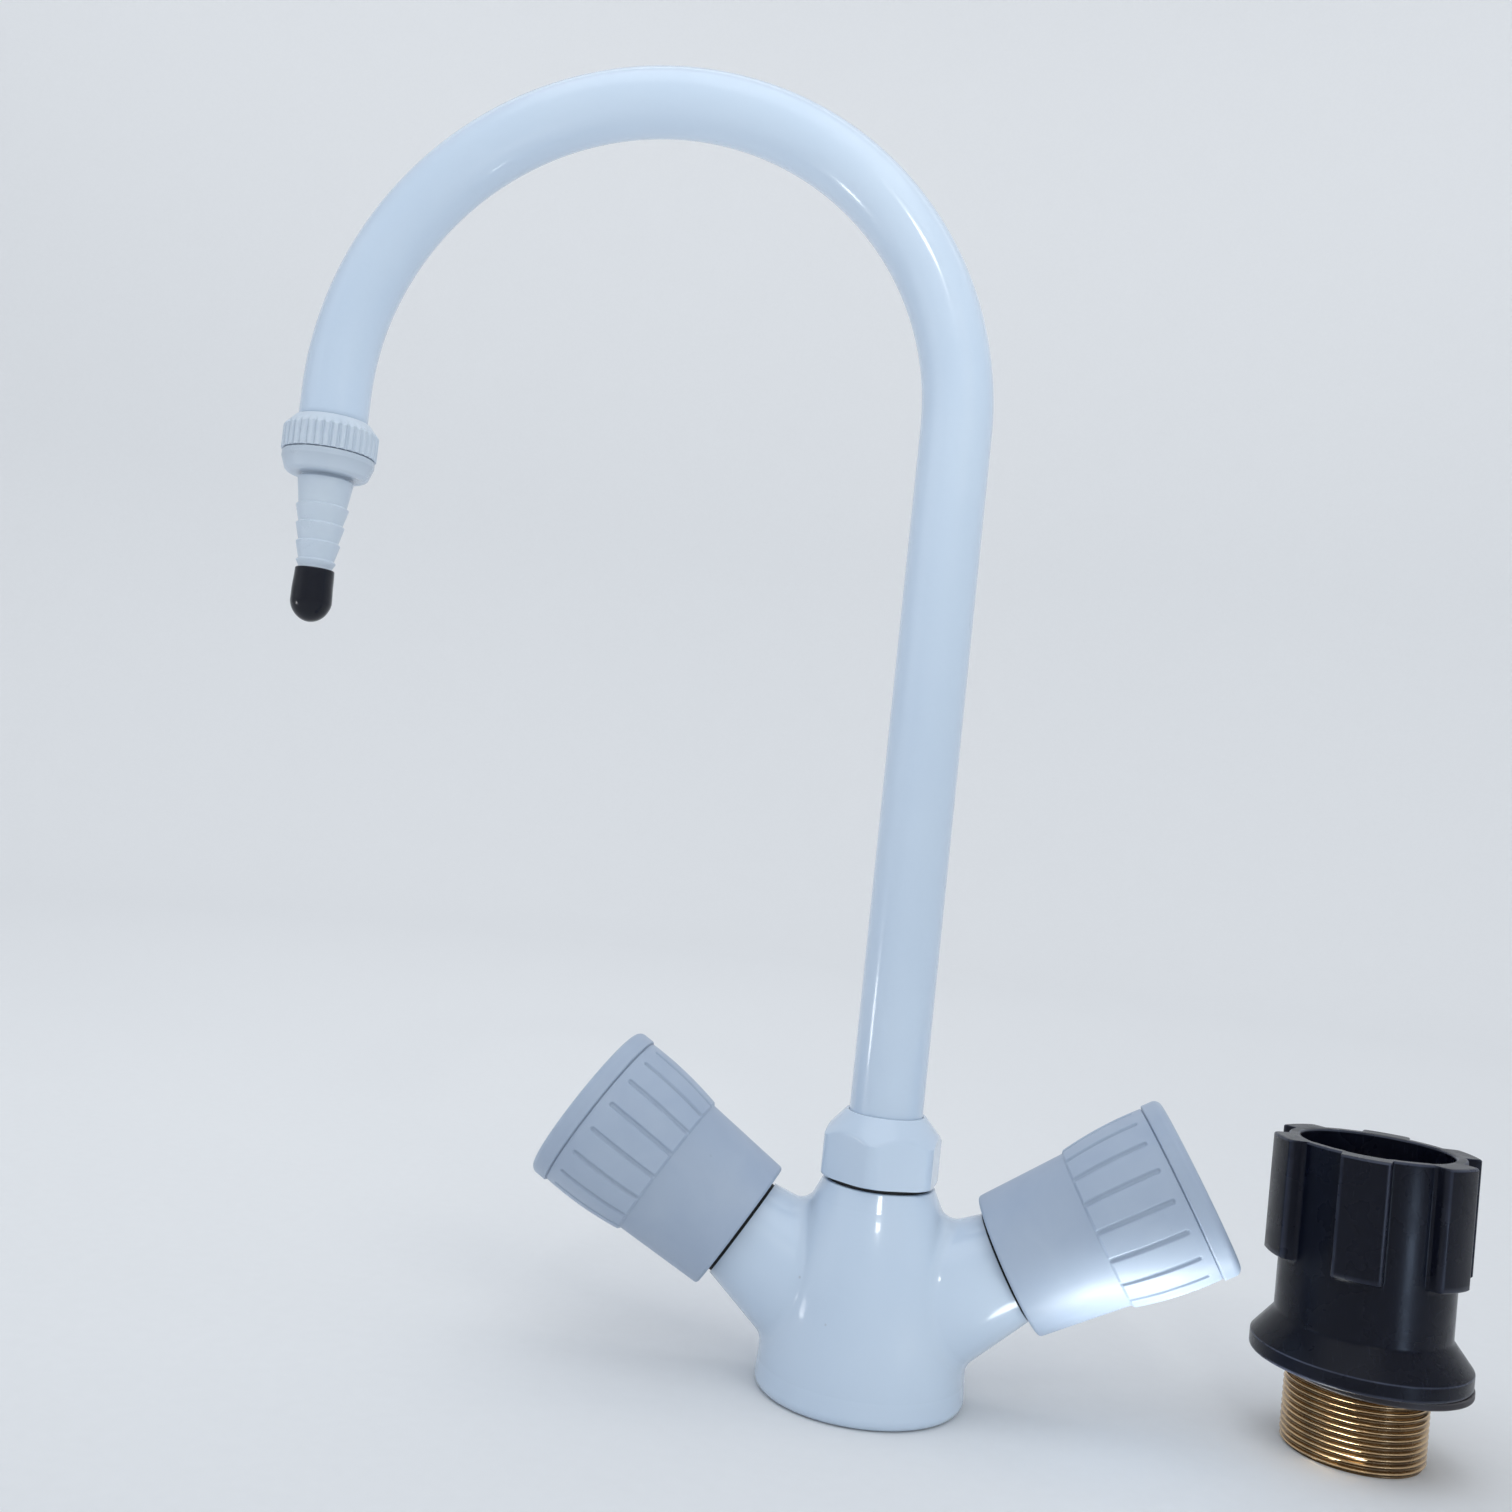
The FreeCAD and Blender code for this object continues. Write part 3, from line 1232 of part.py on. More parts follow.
def make_clamp_nut():
    """The plastic nut: a flared flange, a plain barrel and six finger lobes."""
    body = new_body("fixing_nut")
    foot = cell("clamp_nut_foot_height")
    rim_top = foot + cell("clamp_flange_rim")
    slope_top = rim_top + cell("clamp_slope_height")
    top = foot + cell("clamp_nut_height")
    barrel = half("clamp_barrel_diameter")
    thread = half("shank_thread_diameter") + cell("thread_gap")
    thread_top = foot + cell("clamp_thread_length")
    outline = [
        (thread, foot),
        (half("clamp_flange_diameter"), foot),
        (half("clamp_flange_diameter"), rim_top),
        (barrel, slope_top),
        (barrel, top),
        (half("clamp_upper_bore"), top),
        (half("clamp_upper_bore"), thread_top),
        (thread, thread_top),
    ]
    revolved(body, "nut_turning", outline)
    side = cell("lobe_width") / 2
    reach = half("lobe_diameter")
    bevel = cell("lobe_edge")
    root = (barrel + half("clamp_upper_bore")) / 2
    lobe = [
        (root, -side),
        (reach - bevel, -side),
        (reach, bevel - side),
        (reach, side - bevel),
        (reach - bevel, side),
        (root, side),
    ]
    lobe_foot = foot + cell("lobe_start")
    lobe_height = cell("clamp_nut_height") - cell("lobe_start")
    first = extruded(body, "lobe", [lobe], lobe_foot, lobe_height)
    ring_of(body, "lobes", first, cell("lobe_count"), False)
    return body


fixing_across = cell("fixing_across")
fixing_back = cell("fixing_back")
washer_top = cell("clamp_nut_foot_height") - cell("fixing_washer_gap")
fixing_washer = plain_ring(
    "fixing_washer",
    half("fixing_washer_bore"),
    half("fixing_washer_diameter"),
    washer_top - cell("fixing_washer_thickness"),
    washer_top,
)
lobe_turn = cell("lobe_angle") + FRONT
washer_across = fixing_across + cell("fixing_washer_shift")
pieces.append(place(make_shank(), across=fixing_across, back=fixing_back))
pieces.append(place(fixing_washer, across=washer_across, back=fixing_back))
pieces.append(place(make_clamp_nut(), across=fixing_across, back=fixing_back, turn=lobe_turn))

doc.recompute()

# Every piece is checked before any is written

for item in doc.Objects:
    if "Invalid" in item.State or "Error" in item.State:
        raise RuntimeError("%s: %s" % (item.Name, item.State))
for piece in pieces:
    if piece.Shape.isNull() or not piece.Shape.isValid():
        raise RuntimeError("%s has no valid shape" % piece.Label)

os.makedirs("parts", exist_ok=True)
for piece in pieces:
    piece.Shape.exportStep(os.path.join("parts", piece.Label + ".step"))
    box = piece.Shape.BoundBox
    print("%-22s %9.1f mm3  z %7.2f to %7.2f" % (piece.Label, piece.Shape.Volume, box.ZMin, box.ZMax))
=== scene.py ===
# %% [markdown]
# # A white mixer tap, dressed for the studio
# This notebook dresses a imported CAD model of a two-handle mixer tap: a coated brass body and a
# tall arched spout, two moulded handles, a hose nozzle with a black cap, and the threaded brass
# tube, nut and washer that clamp such a tap to a worktop. The CAD says where each piece is and
# how it moves. Blender adds what a CAD solid leaves out: soft edges, moulded grooves, a real
# thread and finishes that catch light as lacquer, nylon and turned brass do.

import math

import bpy
import numpy as np
from mathutils import Matrix, Vector


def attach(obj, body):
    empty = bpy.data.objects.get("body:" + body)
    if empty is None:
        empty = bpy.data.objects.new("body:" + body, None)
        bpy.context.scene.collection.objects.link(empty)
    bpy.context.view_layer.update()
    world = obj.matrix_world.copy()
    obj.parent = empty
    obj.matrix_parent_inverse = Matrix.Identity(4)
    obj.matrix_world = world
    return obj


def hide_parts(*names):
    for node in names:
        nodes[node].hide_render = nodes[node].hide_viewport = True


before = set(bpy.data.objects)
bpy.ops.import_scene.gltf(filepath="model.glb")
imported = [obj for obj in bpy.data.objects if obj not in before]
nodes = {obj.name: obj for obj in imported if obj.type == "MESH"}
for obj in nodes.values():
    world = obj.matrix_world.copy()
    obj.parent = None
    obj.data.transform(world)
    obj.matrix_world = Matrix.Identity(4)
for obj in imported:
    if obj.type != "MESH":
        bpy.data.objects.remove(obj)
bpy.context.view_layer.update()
MM = 0.001

# %% [markdown]
# ## The camera
# The photograph was taken by hand from close by, so its lines lean and the near parts look
# large. A camera that stands where the phone stood, with the same slight roll and the same
# angle of view, gives that perspective back. It could be placed by eye, but here its place and
# three angles came from the straight riser, the half circle of the spout and the round rims.

# %% The camera
CAMERA_PLACE = (16.247, -369.289, 131.953)
CAMERA_TURN = 8.894
CAMERA_PITCH = 2.9
CAMERA_ROLL = 6.19
FOCAL_LENGTH = 35.39
FILM_WIDTH = 36.0


def camera_pose():
    """Rolls about the view axis, then pitches up from level, then turns about the upright."""
    roll = Matrix.Rotation(math.radians(CAMERA_ROLL), 4, "Z")
    pitch = Matrix.Rotation(math.radians(90 + CAMERA_PITCH), 4, "X")
    turn = Matrix.Rotation(math.radians(CAMERA_TURN), 4, "Z")
    return Matrix.Translation(Vector(CAMERA_PLACE) * MM) @ turn @ pitch @ roll


lens = bpy.data.cameras.new("photo_lens")
lens.lens = FOCAL_LENGTH
lens.sensor_width = FILM_WIDTH
lens.sensor_fit = "HORIZONTAL"
lens.clip_start = 0.01
camera = bpy.data.objects.new("photo_camera", lens)
bpy.context.scene.collection.objects.link(camera)
camera.matrix_world = camera_pose()
bpy.context.scene.camera = camera
print("the camera looks along", [round(-c, 3) for c in camera_pose().col[2][:3]])

# %% [markdown]
# ## Profiles
# Nearly every piece here is turned or moulded round an axis, so it starts as a half outline
# beside that axis. Real edges are never sharp: a small arc on each corner is what gives a rim
# its line of light. Bevel modifiers could round the corners afterwards, but an outline that
# carries its own arcs gives exact radii and an even grid.

# %% Outlines with rounded corners


def outline(corners, steps=5, ring=True):
    """Walks through corners (radius, height, rounding) and returns points of the same walk.

    A rounded corner becomes an arc that touches both of its sides: the arc starts at a distance
    of rounding / tan(half the corner's angle), and its centre lies on the corner's bisector.
    One more point on each side, just past the arc, keeps the shading of the flat parts flat.
    A ring walks on from its last corner to its first; otherwise both ends stay as they are.
    """
    points = np.array([corner[:2] for corner in corners], float)
    line = []
    for number, corner in enumerate(corners):
        here = points[number]
        rounding = corner[2] if len(corner) > 2 else 0
        at_end = not ring and number in (0, len(corners) - 1)
        if rounding == 0 or at_end:
            line.append(here[None])
            continue
        back = points[number - 1] - here
        ahead = points[(number + 1) % len(corners)] - here
        back_length, ahead_length = np.linalg.norm(back), np.linalg.norm(ahead)
        back, ahead = back / back_length, ahead / ahead_length
        half_angle = math.acos(np.clip(back @ ahead, -0.999999, 0.999999)) / 2
        room = 0.46 * min(back_length, ahead_length)
        reach = min(rounding / math.tan(half_angle), room)
        radius = reach * math.tan(half_angle)
        bisector = (back + ahead) / np.linalg.norm(back + ahead)
        centre = here + bisector * radius / math.sin(half_angle)
        swing = math.pi - 2 * half_angle
        part = np.linspace(0, 1, steps + 1)[:, None]
        start, end = here + back * reach - centre, here + ahead * reach - centre
        arc = (np.sin((1 - part) * swing) * start + np.sin(part * swing) * end) / math.sin(swing)
        guard = reach + min(0.3 * radius, room * 0.08)
        line += [(here + back * guard)[None], centre + arc, (here + ahead * guard)[None]]
    return np.vstack(line)


def divided(line, longest):
    """Splits each run of a line into equal parts no longer than `longest`, keeping its points."""
    runs = np.linalg.norm(np.diff(line, axis=0), axis=1)
    parts = np.maximum(1, np.ceil(runs / longest)).astype(int)
    pieces = [
        np.linspace(start, end, count, endpoint=False)
        for start, end, count in zip(line[:-1], line[1:], parts)
    ]
    return np.vstack(pieces + [line[-1:]])


def around(count):
    """Angles in radians, evenly spaced round a full turn."""
    return np.arange(count) * 2 * np.pi / count


def turned(line, angles, radius=None):
    """A surface of revolution, (r cos a, r sin a, z); `radius` may give r per row and angle."""
    if radius is None:
        radius = np.repeat(line[:, :1], len(angles), axis=1)
    height = np.repeat(line[:, 1:], len(angles), axis=1)
    return np.stack([radius * np.cos(angles), radius * np.sin(angles), height], axis=-1)


def soft_least(first, second, width):
    """The lesser of two fields, with a parabola of the given width where they cross."""
    share = np.clip(0.5 + 0.5 * (second - first) / width, 0, 1)
    return second * (1 - share) + first * share - width * share * (1 - share)


def eased(value):
    """Rises from 0 to 1 as 3 t^2 - 2 t^3, so it starts and ends level."""
    value = np.clip(value, 0, 1)
    return value * value * (3 - 2 * value)


print("a 1 mm corner becomes", len(outline([(0, 0), (5, 0, 1), (5, 5)], ring=False)), "points")

# %% [markdown]
# ## From a grid to a mesh
# Rows of the grid follow the outline and columns go round the axis. A Screw modifier could turn
# an outline too, but in a grid the radius may change with the angle, which ribs, grooves, lobes
# and a thread need. The outline runs upwards on the outside, so every face points outwards
# without a later fix. A hollow piece closes its last row onto its first, and a solid one closes
# its end rows to a point on the axis, so no piece has an open seam. Two masks go with the
# points. `hollow` comes from the piece: on the plastics it marks grooves, seams and recesses for
# painted shade, and on the brass the roots of the thread. `worn`, where edges get rubbed, is
# worked out from the grid's own curvature, so it follows every edge with no texture painting.
# On the black parts its pale edges are partly wear and partly a painted edge highlight.

# %% Faces and masks of a grid
SHORTEST_RUN = 0.02
WEAR_FROM, WEAR_FULL = 0.4, 1.6


def grid_faces(rows, columns, closing):
    """Corner numbers of all faces, quads first, then the triangles round each pole."""
    marks = np.arange(rows * columns).reshape(rows, columns)
    if closing == "ring":
        marks = np.vstack([marks, marks[:1]])
    else:
        marks[0] = marks[0, 0]
        marks[-1] = marks[-1, 0]
    marks = np.hstack([marks, marks[:, :1]])
    quads = np.stack([marks[:-1, :-1], marks[:-1, 1:], marks[1:, 1:], marks[1:, :-1]], axis=-1)
    quads = quads.reshape(-1, 4)
    first = quads[:, 0] == quads[:, 1]
    last = quads[:, 2] == quads[:, 3]
    fans = np.concatenate([quads[first][:, [0, 2, 3]], quads[last][:, [0, 1, 2]]])
    return quads[~first & ~last], fans


def unit(field):
    """Vectors shortened to length one, and their lengths before that."""
    length = np.linalg.norm(field, axis=-1, keepdims=True)
    return field / np.maximum(length, 1e-9), length


def edge_wear(grid):
    """Where an edge stands out and gets rubbed, from 0 on gentle curves to 1 on sharp edges.

    Along rows and along columns, the bend at a point is the change of the unit tangent over the
    mean length of the two runs beside it. Its part against the outward normal is one over the
    edge's radius in millimetres.
    """
    steps = [np.roll(grid, -1, axis) - grid for axis in (0, 1)]
    upward, across = [step + np.roll(step, 1, axis) for axis, step in enumerate(steps)]
    normal, _ = unit(np.cross(across, upward))
    bend = np.zeros(grid.shape[:2])
    for axis, step in enumerate(steps):
        tangent, length = unit(step)
        turn = tangent - np.roll(tangent, 1, axis)
        mean = np.maximum((length + np.roll(length, 1, axis)) / 2, SHORTEST_RUN)
        bend = np.maximum(bend, -np.sum(turn / mean * normal, axis=-1))
    return np.clip((bend - WEAR_FROM) / (WEAR_FULL - WEAR_FROM), 0, 1)


quads, fans = grid_faces(3, 4, "poles")
print("a solid grid of 3 rows and 4 columns has", len(quads), "quads and", len(fans), "triangles")

# %% [markdown]
# ## Building a piece
# Faces could be added one by one, but whole arrays go into a mesh much faster. Only the points
# that a face uses are kept, because a closed end needs just one point of its row. Smooth shading
# is enough, since the edges that show are already rounded. Each piece is then hung on the empty
# of the body it rides on, so that it moves as the real one does, and the CAD node that it stands
# for is hidden.

# %% Build a piece


def build(name, grid, body, node, finish, closing="ring", hollow=None):
    """Makes a smooth mesh from a grid of points in millimetres and puts it in its place."""
    rows, columns = grid.shape[:2]
    quads, fans = grid_faces(rows, columns, closing)
    sizes = np.concatenate([np.full(len(quads), 4), np.full(len(fans), 3)])
    used, corners = np.unique(np.concatenate([quads.ravel(), fans.ravel()]), return_inverse=True)
    mesh = bpy.data.meshes.new(name)
    mesh.vertices.add(len(used))
    mesh.vertices.foreach_set("co", (grid.reshape(-1, 3)[used] * MM).ravel())
    mesh.loops.add(len(corners))
    mesh.loops.foreach_set("vertex_index", corners.ravel())
    mesh.polygons.add(len(sizes))
    mesh.polygons.foreach_set("loop_start", np.cumsum(sizes) - sizes)
    mesh.update(calc_edges=True)
    mesh.validate()
    mesh.shade_smooth()
    masks = {"worn": edge_wear(grid)}
    if hollow is not None:
        masks["hollow"] = hollow
    for label, mask in masks.items():
        layer = mesh.attributes.new(label, "FLOAT", "POINT")
        layer.data.foreach_set("value", mask.reshape(-1)[used].astype(np.float32))
    piece = bpy.data.objects.new(name, mesh)
    bpy.context.scene.collection.objects.link(piece)
    mesh.materials.append(finish)
    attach(piece, body)
    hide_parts(node)
    print("%-20s %6d points %6d triangles" % (name, len(used), 2 * len(quads) + len(fans)))


# %% [markdown]
# ## Node helpers
# Materials could be wired by hand in the node editor, but nodes made in code can be read, changed
# and made again. A few small helpers keep that code short: they add a node and fill its sockets
# with numbers or links, do one step of arithmetic, mix two colours, or start a node group. A
# group is an effect made once, such as the ripple of sprayed lacquer, and then used in several
# materials with its own values. Groups give out only masks and heights; the shader stays in the
# material, where an export can read it.

# %% Node helpers


def fill(node, values):
    """Sets sockets by name or number: a socket becomes a link, anything else a value."""
    for key, value in values.items():
        socket = node.inputs[key]
        if isinstance(value, bpy.types.NodeSocket):
            node.id_data.links.new(value, socket)
        else:
            socket.default_value = value
    return node


def add(tree, kind, values=None, **settings):
    """Adds one shader node, with settings first, because they decide which sockets it has."""
    node = tree.nodes.new("ShaderNode" + kind)
    for key, value in settings.items():
        setattr(node, key, value)
    return fill(node, values or {})


def sums(tree, operation, first, second=0.0, third=0.0):
    """One step of arithmetic on masks."""
    values = {0: first, 1: second}
    if operation == "MULTIPLY_ADD":
        values[2] = third
    return add(tree, "Math", values, operation=operation).outputs[0]


def blended(tree, share, first, second):
    """Mixes two colours by a mask."""
    values = {0: share, 6: first, 7: second}
    return add(tree, "Mix", values, data_type="RGBA").outputs[2]


def ranged(tree, value, low, high, to_low=0.0, to_high=1.0):
    """Stretches the part of a mask between low and high, and clamps the rest."""
    return add(tree, "MapRange", {0: value, 1: low, 2: high, 3: to_low, 4: to_high}).outputs[0]


def start_group(name, inputs, outputs):
    """A new group with named number sockets, a vector input and named outputs."""
    tree = bpy.data.node_groups.new(name, "ShaderNodeTree")
    tree.interface.new_socket("Place", in_out="INPUT", socket_type="NodeSocketVector")
    for label, value in inputs.items():
        socket = tree.interface.new_socket(label, in_out="INPUT", socket_type="NodeSocketFloat")
        socket.default_value = value
    for label in outputs:
        tree.interface.new_socket(label, in_out="OUTPUT", socket_type="NodeSocketFloat")
    return tree, tree.nodes.new("NodeGroupInput"), tree.nodes.new("NodeGroupOutput")


def use(tree, group, values):
    """Places a group in a material with its own values."""
    node = tree.nodes.new("ShaderNodeGroup")
    node.node_tree = group
    return fill(node, values)


def start_finish(name, constants):
    """A material with its Principled shader; constants go straight onto the shader's sockets."""
    material = bpy.data.materials.new(name)
    material.use_nodes = True
    tree = material.node_tree
    shader = tree.nodes["Principled BSDF"]
    fill(shader, constants)
    place = tree.nodes.new("ShaderNodeTexCoord").outputs["Object"]
    return material, tree, shader, place


helpers = (fill, add, sums, blended, ranged, start_group, use, start_finish)
print("node helpers:", [helper.__name__ for helper in helpers])

# %% [markdown]
# ## Effects that several finishes share
# Sprayed and baked lacquer is never a perfect mirror. It dries with a faint ripple one or two
# millimetres across, called orange peel, and its thickness drifts a little, which shows as a
# slow change of tone. Moulded nylon has a finer skin copied from the mould. Everything that is
# held gets smudges and hairline scratches, and dust settles as tiny specks. Pictures could hold
# such marks, but they need an unwrapped mesh and blur from close by. Here all of them are noise
# at different sizes, measured on the object so that they don't swim when it moves.

# %% Lacquer ripple, moulded skin, handling and specks


def lacquer_ripple():
    """Height: noise of about 1.6 mm. Drift: slow noise of about 4 cm, for tone and gloss."""
    tree, source, result = start_group("lacquer_ripple", {"Ripple": 620.0}, ["Height", "Drift"])
    fine = {"Vector": source.outputs["Place"], "Scale": source.outputs["Ripple"], "Detail": 1.5}
    height = add(tree, "TexNoise", fine)
    slow = {"Vector": source.outputs["Place"], "Scale": 26.0, "Detail": 2.0}
    drift = add(tree, "TexNoise", slow)
    fill(result, {"Height": height.outputs[0]})
    fill(result, {"Drift": ranged(tree, drift.outputs[0], 0.3, 0.7)})
    return tree


def moulded_skin():
    """Grain: fine noise from the mould's skin. Flow: longer streaks where the melt ran."""
    tree, source, result = start_group("moulded_skin", {"Grain": 3600.0}, ["Grain", "Flow"])
    fine = {"Vector": source.outputs["Place"], "Scale": source.outputs["Grain"], "Detail": 2.0}
    grain = add(tree, "TexNoise", fine)
    flow_at = {"Vector": source.outputs["Place"], "Scale": 85.0, "Detail": 3.0, "Distortion": 0.6}
    flow = add(tree, "TexNoise", flow_at)
    fill(result, {"Grain": grain.outputs[0]})
    fill(result, {"Flow": ranged(tree, flow.outputs[0], 0.28, 0.72)})
    return tree


def handling_marks():
    """Smudge: soft patches of about 1 cm. Scratch: thin lines, noise stretched 60 to 1."""
    tree, source, result = start_group("handling_marks", {"Size": 90.0}, ["Smudge", "Scratch"])
    patch = {"Vector": source.outputs["Place"], "Scale": source.outputs["Size"], "Detail": 4.0}
    smudge = add(tree, "TexNoise", patch)
    turn = {"Vector": source.outputs["Place"], "Rotation": (0.5, 0.9, 0.3), "Scale": (60, 1, 3)}
    stretched = add(tree, "Mapping", turn)
    lines = {"Vector": stretched.outputs[0], "Scale": 95.0, "Detail": 2.0}
    scratch = add(tree, "TexNoise", lines)
    fill(result, {"Smudge": ranged(tree, smudge.outputs[0], 0.48, 0.72)})
    fill(result, {"Scratch": ranged(tree, scratch.outputs[0], 0.66, 0.74)})
    return tree


def dust_specks():
    """Small round specks, one in a few of the cells of a Voronoi pattern."""
    tree, source, result = start_group("dust_specks", {"Cells": 210.0, "Few": 0.93}, ["Speck"])
    cells = {"Vector": source.outputs["Place"], "Scale": source.outputs["Cells"]}
    dots = add(tree, "TexVoronoi", cells)
    near = ranged(tree, dots.outputs["Distance"], 0.05, 0.11, 1.0, 0.0)
    pick = add(tree, "SeparateColor", {0: dots.outputs["Color"]}).outputs[0]
    chosen = sums(tree, "GREATER_THAN", pick, source.outputs["Few"])
    fill(result, {"Speck": sums(tree, "MULTIPLY", near, chosen)})
    return tree


LACQUER = lacquer_ripple()
SKIN = moulded_skin()
HANDLING = handling_marks()
SPECKS = dust_specks()
print("shared effects:", [group.name for group in bpy.data.node_groups])

# %% [markdown]
# ## White lacquer
# The body, the spout and its nut are brass under baked white lacquer. It is a cool white with a
# clear top layer: sharp, small highlights over a soft body colour. One gloss for both would lose
# either the sharp mark or the soft sheen round it. So the base carries the colour, a coat
# carries the highlights, and the ripple bends them slightly.

# %% White lacquer
LACQUER_LIGHT = (0.595, 0.705, 0.84, 1)
LACQUER_DEEP = (0.565, 0.68, 0.825, 1)
SPECK_COLOUR = (0.20, 0.22, 0.24, 1)


def white_lacquer():
    """Cool white with drifting tone, orange peel, smudged gloss and a few specks."""
    constants = {"IOR": 1.5, "Coat Weight": 0.5, "Coat Roughness": 0.05, "Coat IOR": 1.5}
    material, tree, shader, place = start_finish("white_lacquer", constants)
    ripple = use(tree, LACQUER, {"Place": place})
    marks = use(tree, HANDLING, {"Place": place, "Size": 70.0})
    specks = use(tree, SPECKS, {"Place": place, "Cells": 260.0, "Few": 0.975})
    tone = blended(tree, ripple.outputs["Drift"], LACQUER_DEEP, LACQUER_LIGHT)
    tone = blended(tree, sums(tree, "MULTIPLY", specks.outputs["Speck"], 0.3), tone, SPECK_COLOUR)
    dull = sums(tree, "MULTIPLY_ADD", marks.outputs["Smudge"], 0.05, 0.2)
    dull = sums(tree, "MULTIPLY_ADD", marks.outputs["Scratch"], 0.03, dull)
    bump = {"Height": ripple.outputs["Height"], "Strength": 0.16, "Distance": 0.0001}
    relief = add(tree, "Bump", bump).outputs[0]
    fill(shader, {"Base Color": tone, "Roughness": dull, "Normal": relief})
    return material


LACQUERED = white_lacquer()
print("finish:", LACQUERED.name)

# %% [markdown]
# ## Moulded plastics
# The handles are a greyer, satin nylon with a fine skin. Their grooves, the step below them and
# the seam under the cap get painted shade, and so do the rib valleys and the recess under the
# flange at the outlet. Ambient occlusion could find these hollows, but it costs render time and
# the grid already knows where they are. So each piece gives their depth to the material, as an
# attribute named hollow. The ring nut and the nozzle are a glossier white plastic, made by the
# same function with other values.

# %% Handle nylon and nozzle plastic
HANDLE_LIGHT = (0.41, 0.49, 0.61, 1)
HANDLE_DEEP = (0.375, 0.455, 0.585, 1)
# A dusty grey for the specks, and for the painted shade in grooves, seams and recesses.
SHADE_AND_DUST_GREY = (0.17, 0.21, 0.27, 1)
NOZZLE_WHITE = (0.60, 0.68, 0.77, 1)
NOZZLE_DEEP = (0.55, 0.635, 0.74, 1)


def moulded_plastic(name, light, deep, dull_at, grain, shade_and_dust):
    """Two close tones along the melt's flow, painted shade in the hollows, fine grain on the
    surface.
    """
    material, tree, shader, place = start_finish(name, {"IOR": 1.5})
    skin = use(tree, SKIN, {"Place": place})
    marks = use(tree, HANDLING, {"Place": place, "Size": 110.0})
    specks = use(tree, SPECKS, {"Place": place, "Cells": 150.0, "Few": 0.95})
    depth = add(tree, "Attribute", attribute_name="hollow").outputs["Fac"]
    tone = blended(tree, skin.outputs["Flow"], deep, light)
    tone = blended(tree, sums(tree, "MULTIPLY", specks.outputs["Speck"], 0.4), tone, shade_and_dust)
    # Painted shade: the hollow mask darkens grooves, seams and recesses towards that grey.
    tone = blended(tree, sums(tree, "MULTIPLY", depth, 0.2), tone, shade_and_dust)
    dull = sums(tree, "MULTIPLY_ADD", skin.outputs["Grain"], 0.10, dull_at)
    dull = sums(tree, "MULTIPLY_ADD", marks.outputs["Smudge"], -0.07, dull)
    height = sums(tree, "MULTIPLY_ADD", marks.outputs["Scratch"], -0.4, skin.outputs["Grain"])
    bump = {"Height": height, "Strength": grain, "Distance": 0.00006}
    relief = add(tree, "Bump", bump).outputs[0]
    fill(shader, {"Base Color": tone, "Roughness": dull, "Normal": relief})
    return material


HANDLE_NYLON = moulded_plastic(
    "handle_nylon", HANDLE_LIGHT, HANDLE_DEEP, dull_at=0.40, grain=0.22, shade_and_dust=SHADE_AND_DUST_GREY
)
NOZZLE_PLASTIC = moulded_plastic(
    "nozzle_plastic", NOZZLE_WHITE, NOZZLE_DEEP, dull_at=0.27, grain=0.12, shade_and_dust=SHADE_AND_DUST_GREY
)
print("finishes:", HANDLE_NYLON.name, "and", NOZZLE_PLASTIC.name)

# %% [markdown]
# ## Metals
# Turned brass keeps the fine lines of the tool that cut it and slowly goes brown where it is
# handled, while its crests stay bright. An anisotropic shader would stretch a highlight in much
# the same way, but lines in the relief also break it up, as the tool's marks do. The hollow mask
# darkens the roots of the thread, and the worn mask keeps the crests clean. The screws and clips
# inside are brushed steel.

# %% Brass and steel


def turned_lines():
    """Lines: noise squeezed along the axis, so it reads as rings. Stain: slow brown patches."""
    tree, source, result = start_group("turned_lines", {"Fineness": 9000.0}, ["Lines", "Stain"])
    squeeze = {"Vector": source.outputs["Place"], "Scale": (0.02, 0.02, 1)}
    rings = add(tree, "Mapping", squeeze)
    lines = {"Vector": rings.outputs[0], "Scale": source.outputs["Fineness"], "Detail": 2.0}
    fine = add(tree, "TexNoise", lines)
    stain = {"Vector": source.outputs["Place"], "Scale": 95.0, "Detail": 5.0, "Roughness": 0.6}
    patches = add(tree, "TexNoise", stain)
    fill(result, {"Lines": fine.outputs[0]})
    fill(result, {"Stain": ranged(tree, patches.outputs[0], 0.42, 0.66)})
    return tree


TURNING = turned_lines()


def bare_metal(name, bright, brown, root, dull_at, stain_share):
    """Metal with tool lines, brown patches, dark thread roots and rubbed bright edges."""
    material, tree, shader, place = start_finish(name, {"Metallic": 1.0})
    lines = use(tree, TURNING, {"Place": place})
    depth = add(tree, "Attribute", attribute_name="hollow").outputs["Fac"]
    worn = add(tree, "Attribute", attribute_name="worn").outputs["Fac"]
    dulled = sums(tree, "MULTIPLY_ADD", worn, -0.8, 1.0)
    stained = sums(tree, "MULTIPLY", lines.outputs["Stain"], stain_share)
    stained = sums(tree, "MULTIPLY", stained, dulled)
    tone = blended(tree, stained, bright, brown)
    tone = blended(tree, sums(tree, "MULTIPLY", depth, 0.8), tone, root)
    dull = sums(tree, "MULTIPLY_ADD", lines.outputs["Lines"], 0.14, dull_at)
    dull = sums(tree, "MULTIPLY_ADD", stained, 0.15, dull)
    bump = {"Height": lines.outputs["Lines"], "Strength": 0.2, "Distance": 0.00005}
    relief = add(tree, "Bump", bump).outputs[0]
    fill(shader, {"Base Color": tone, "Roughness": dull, "Normal": relief})
    return material


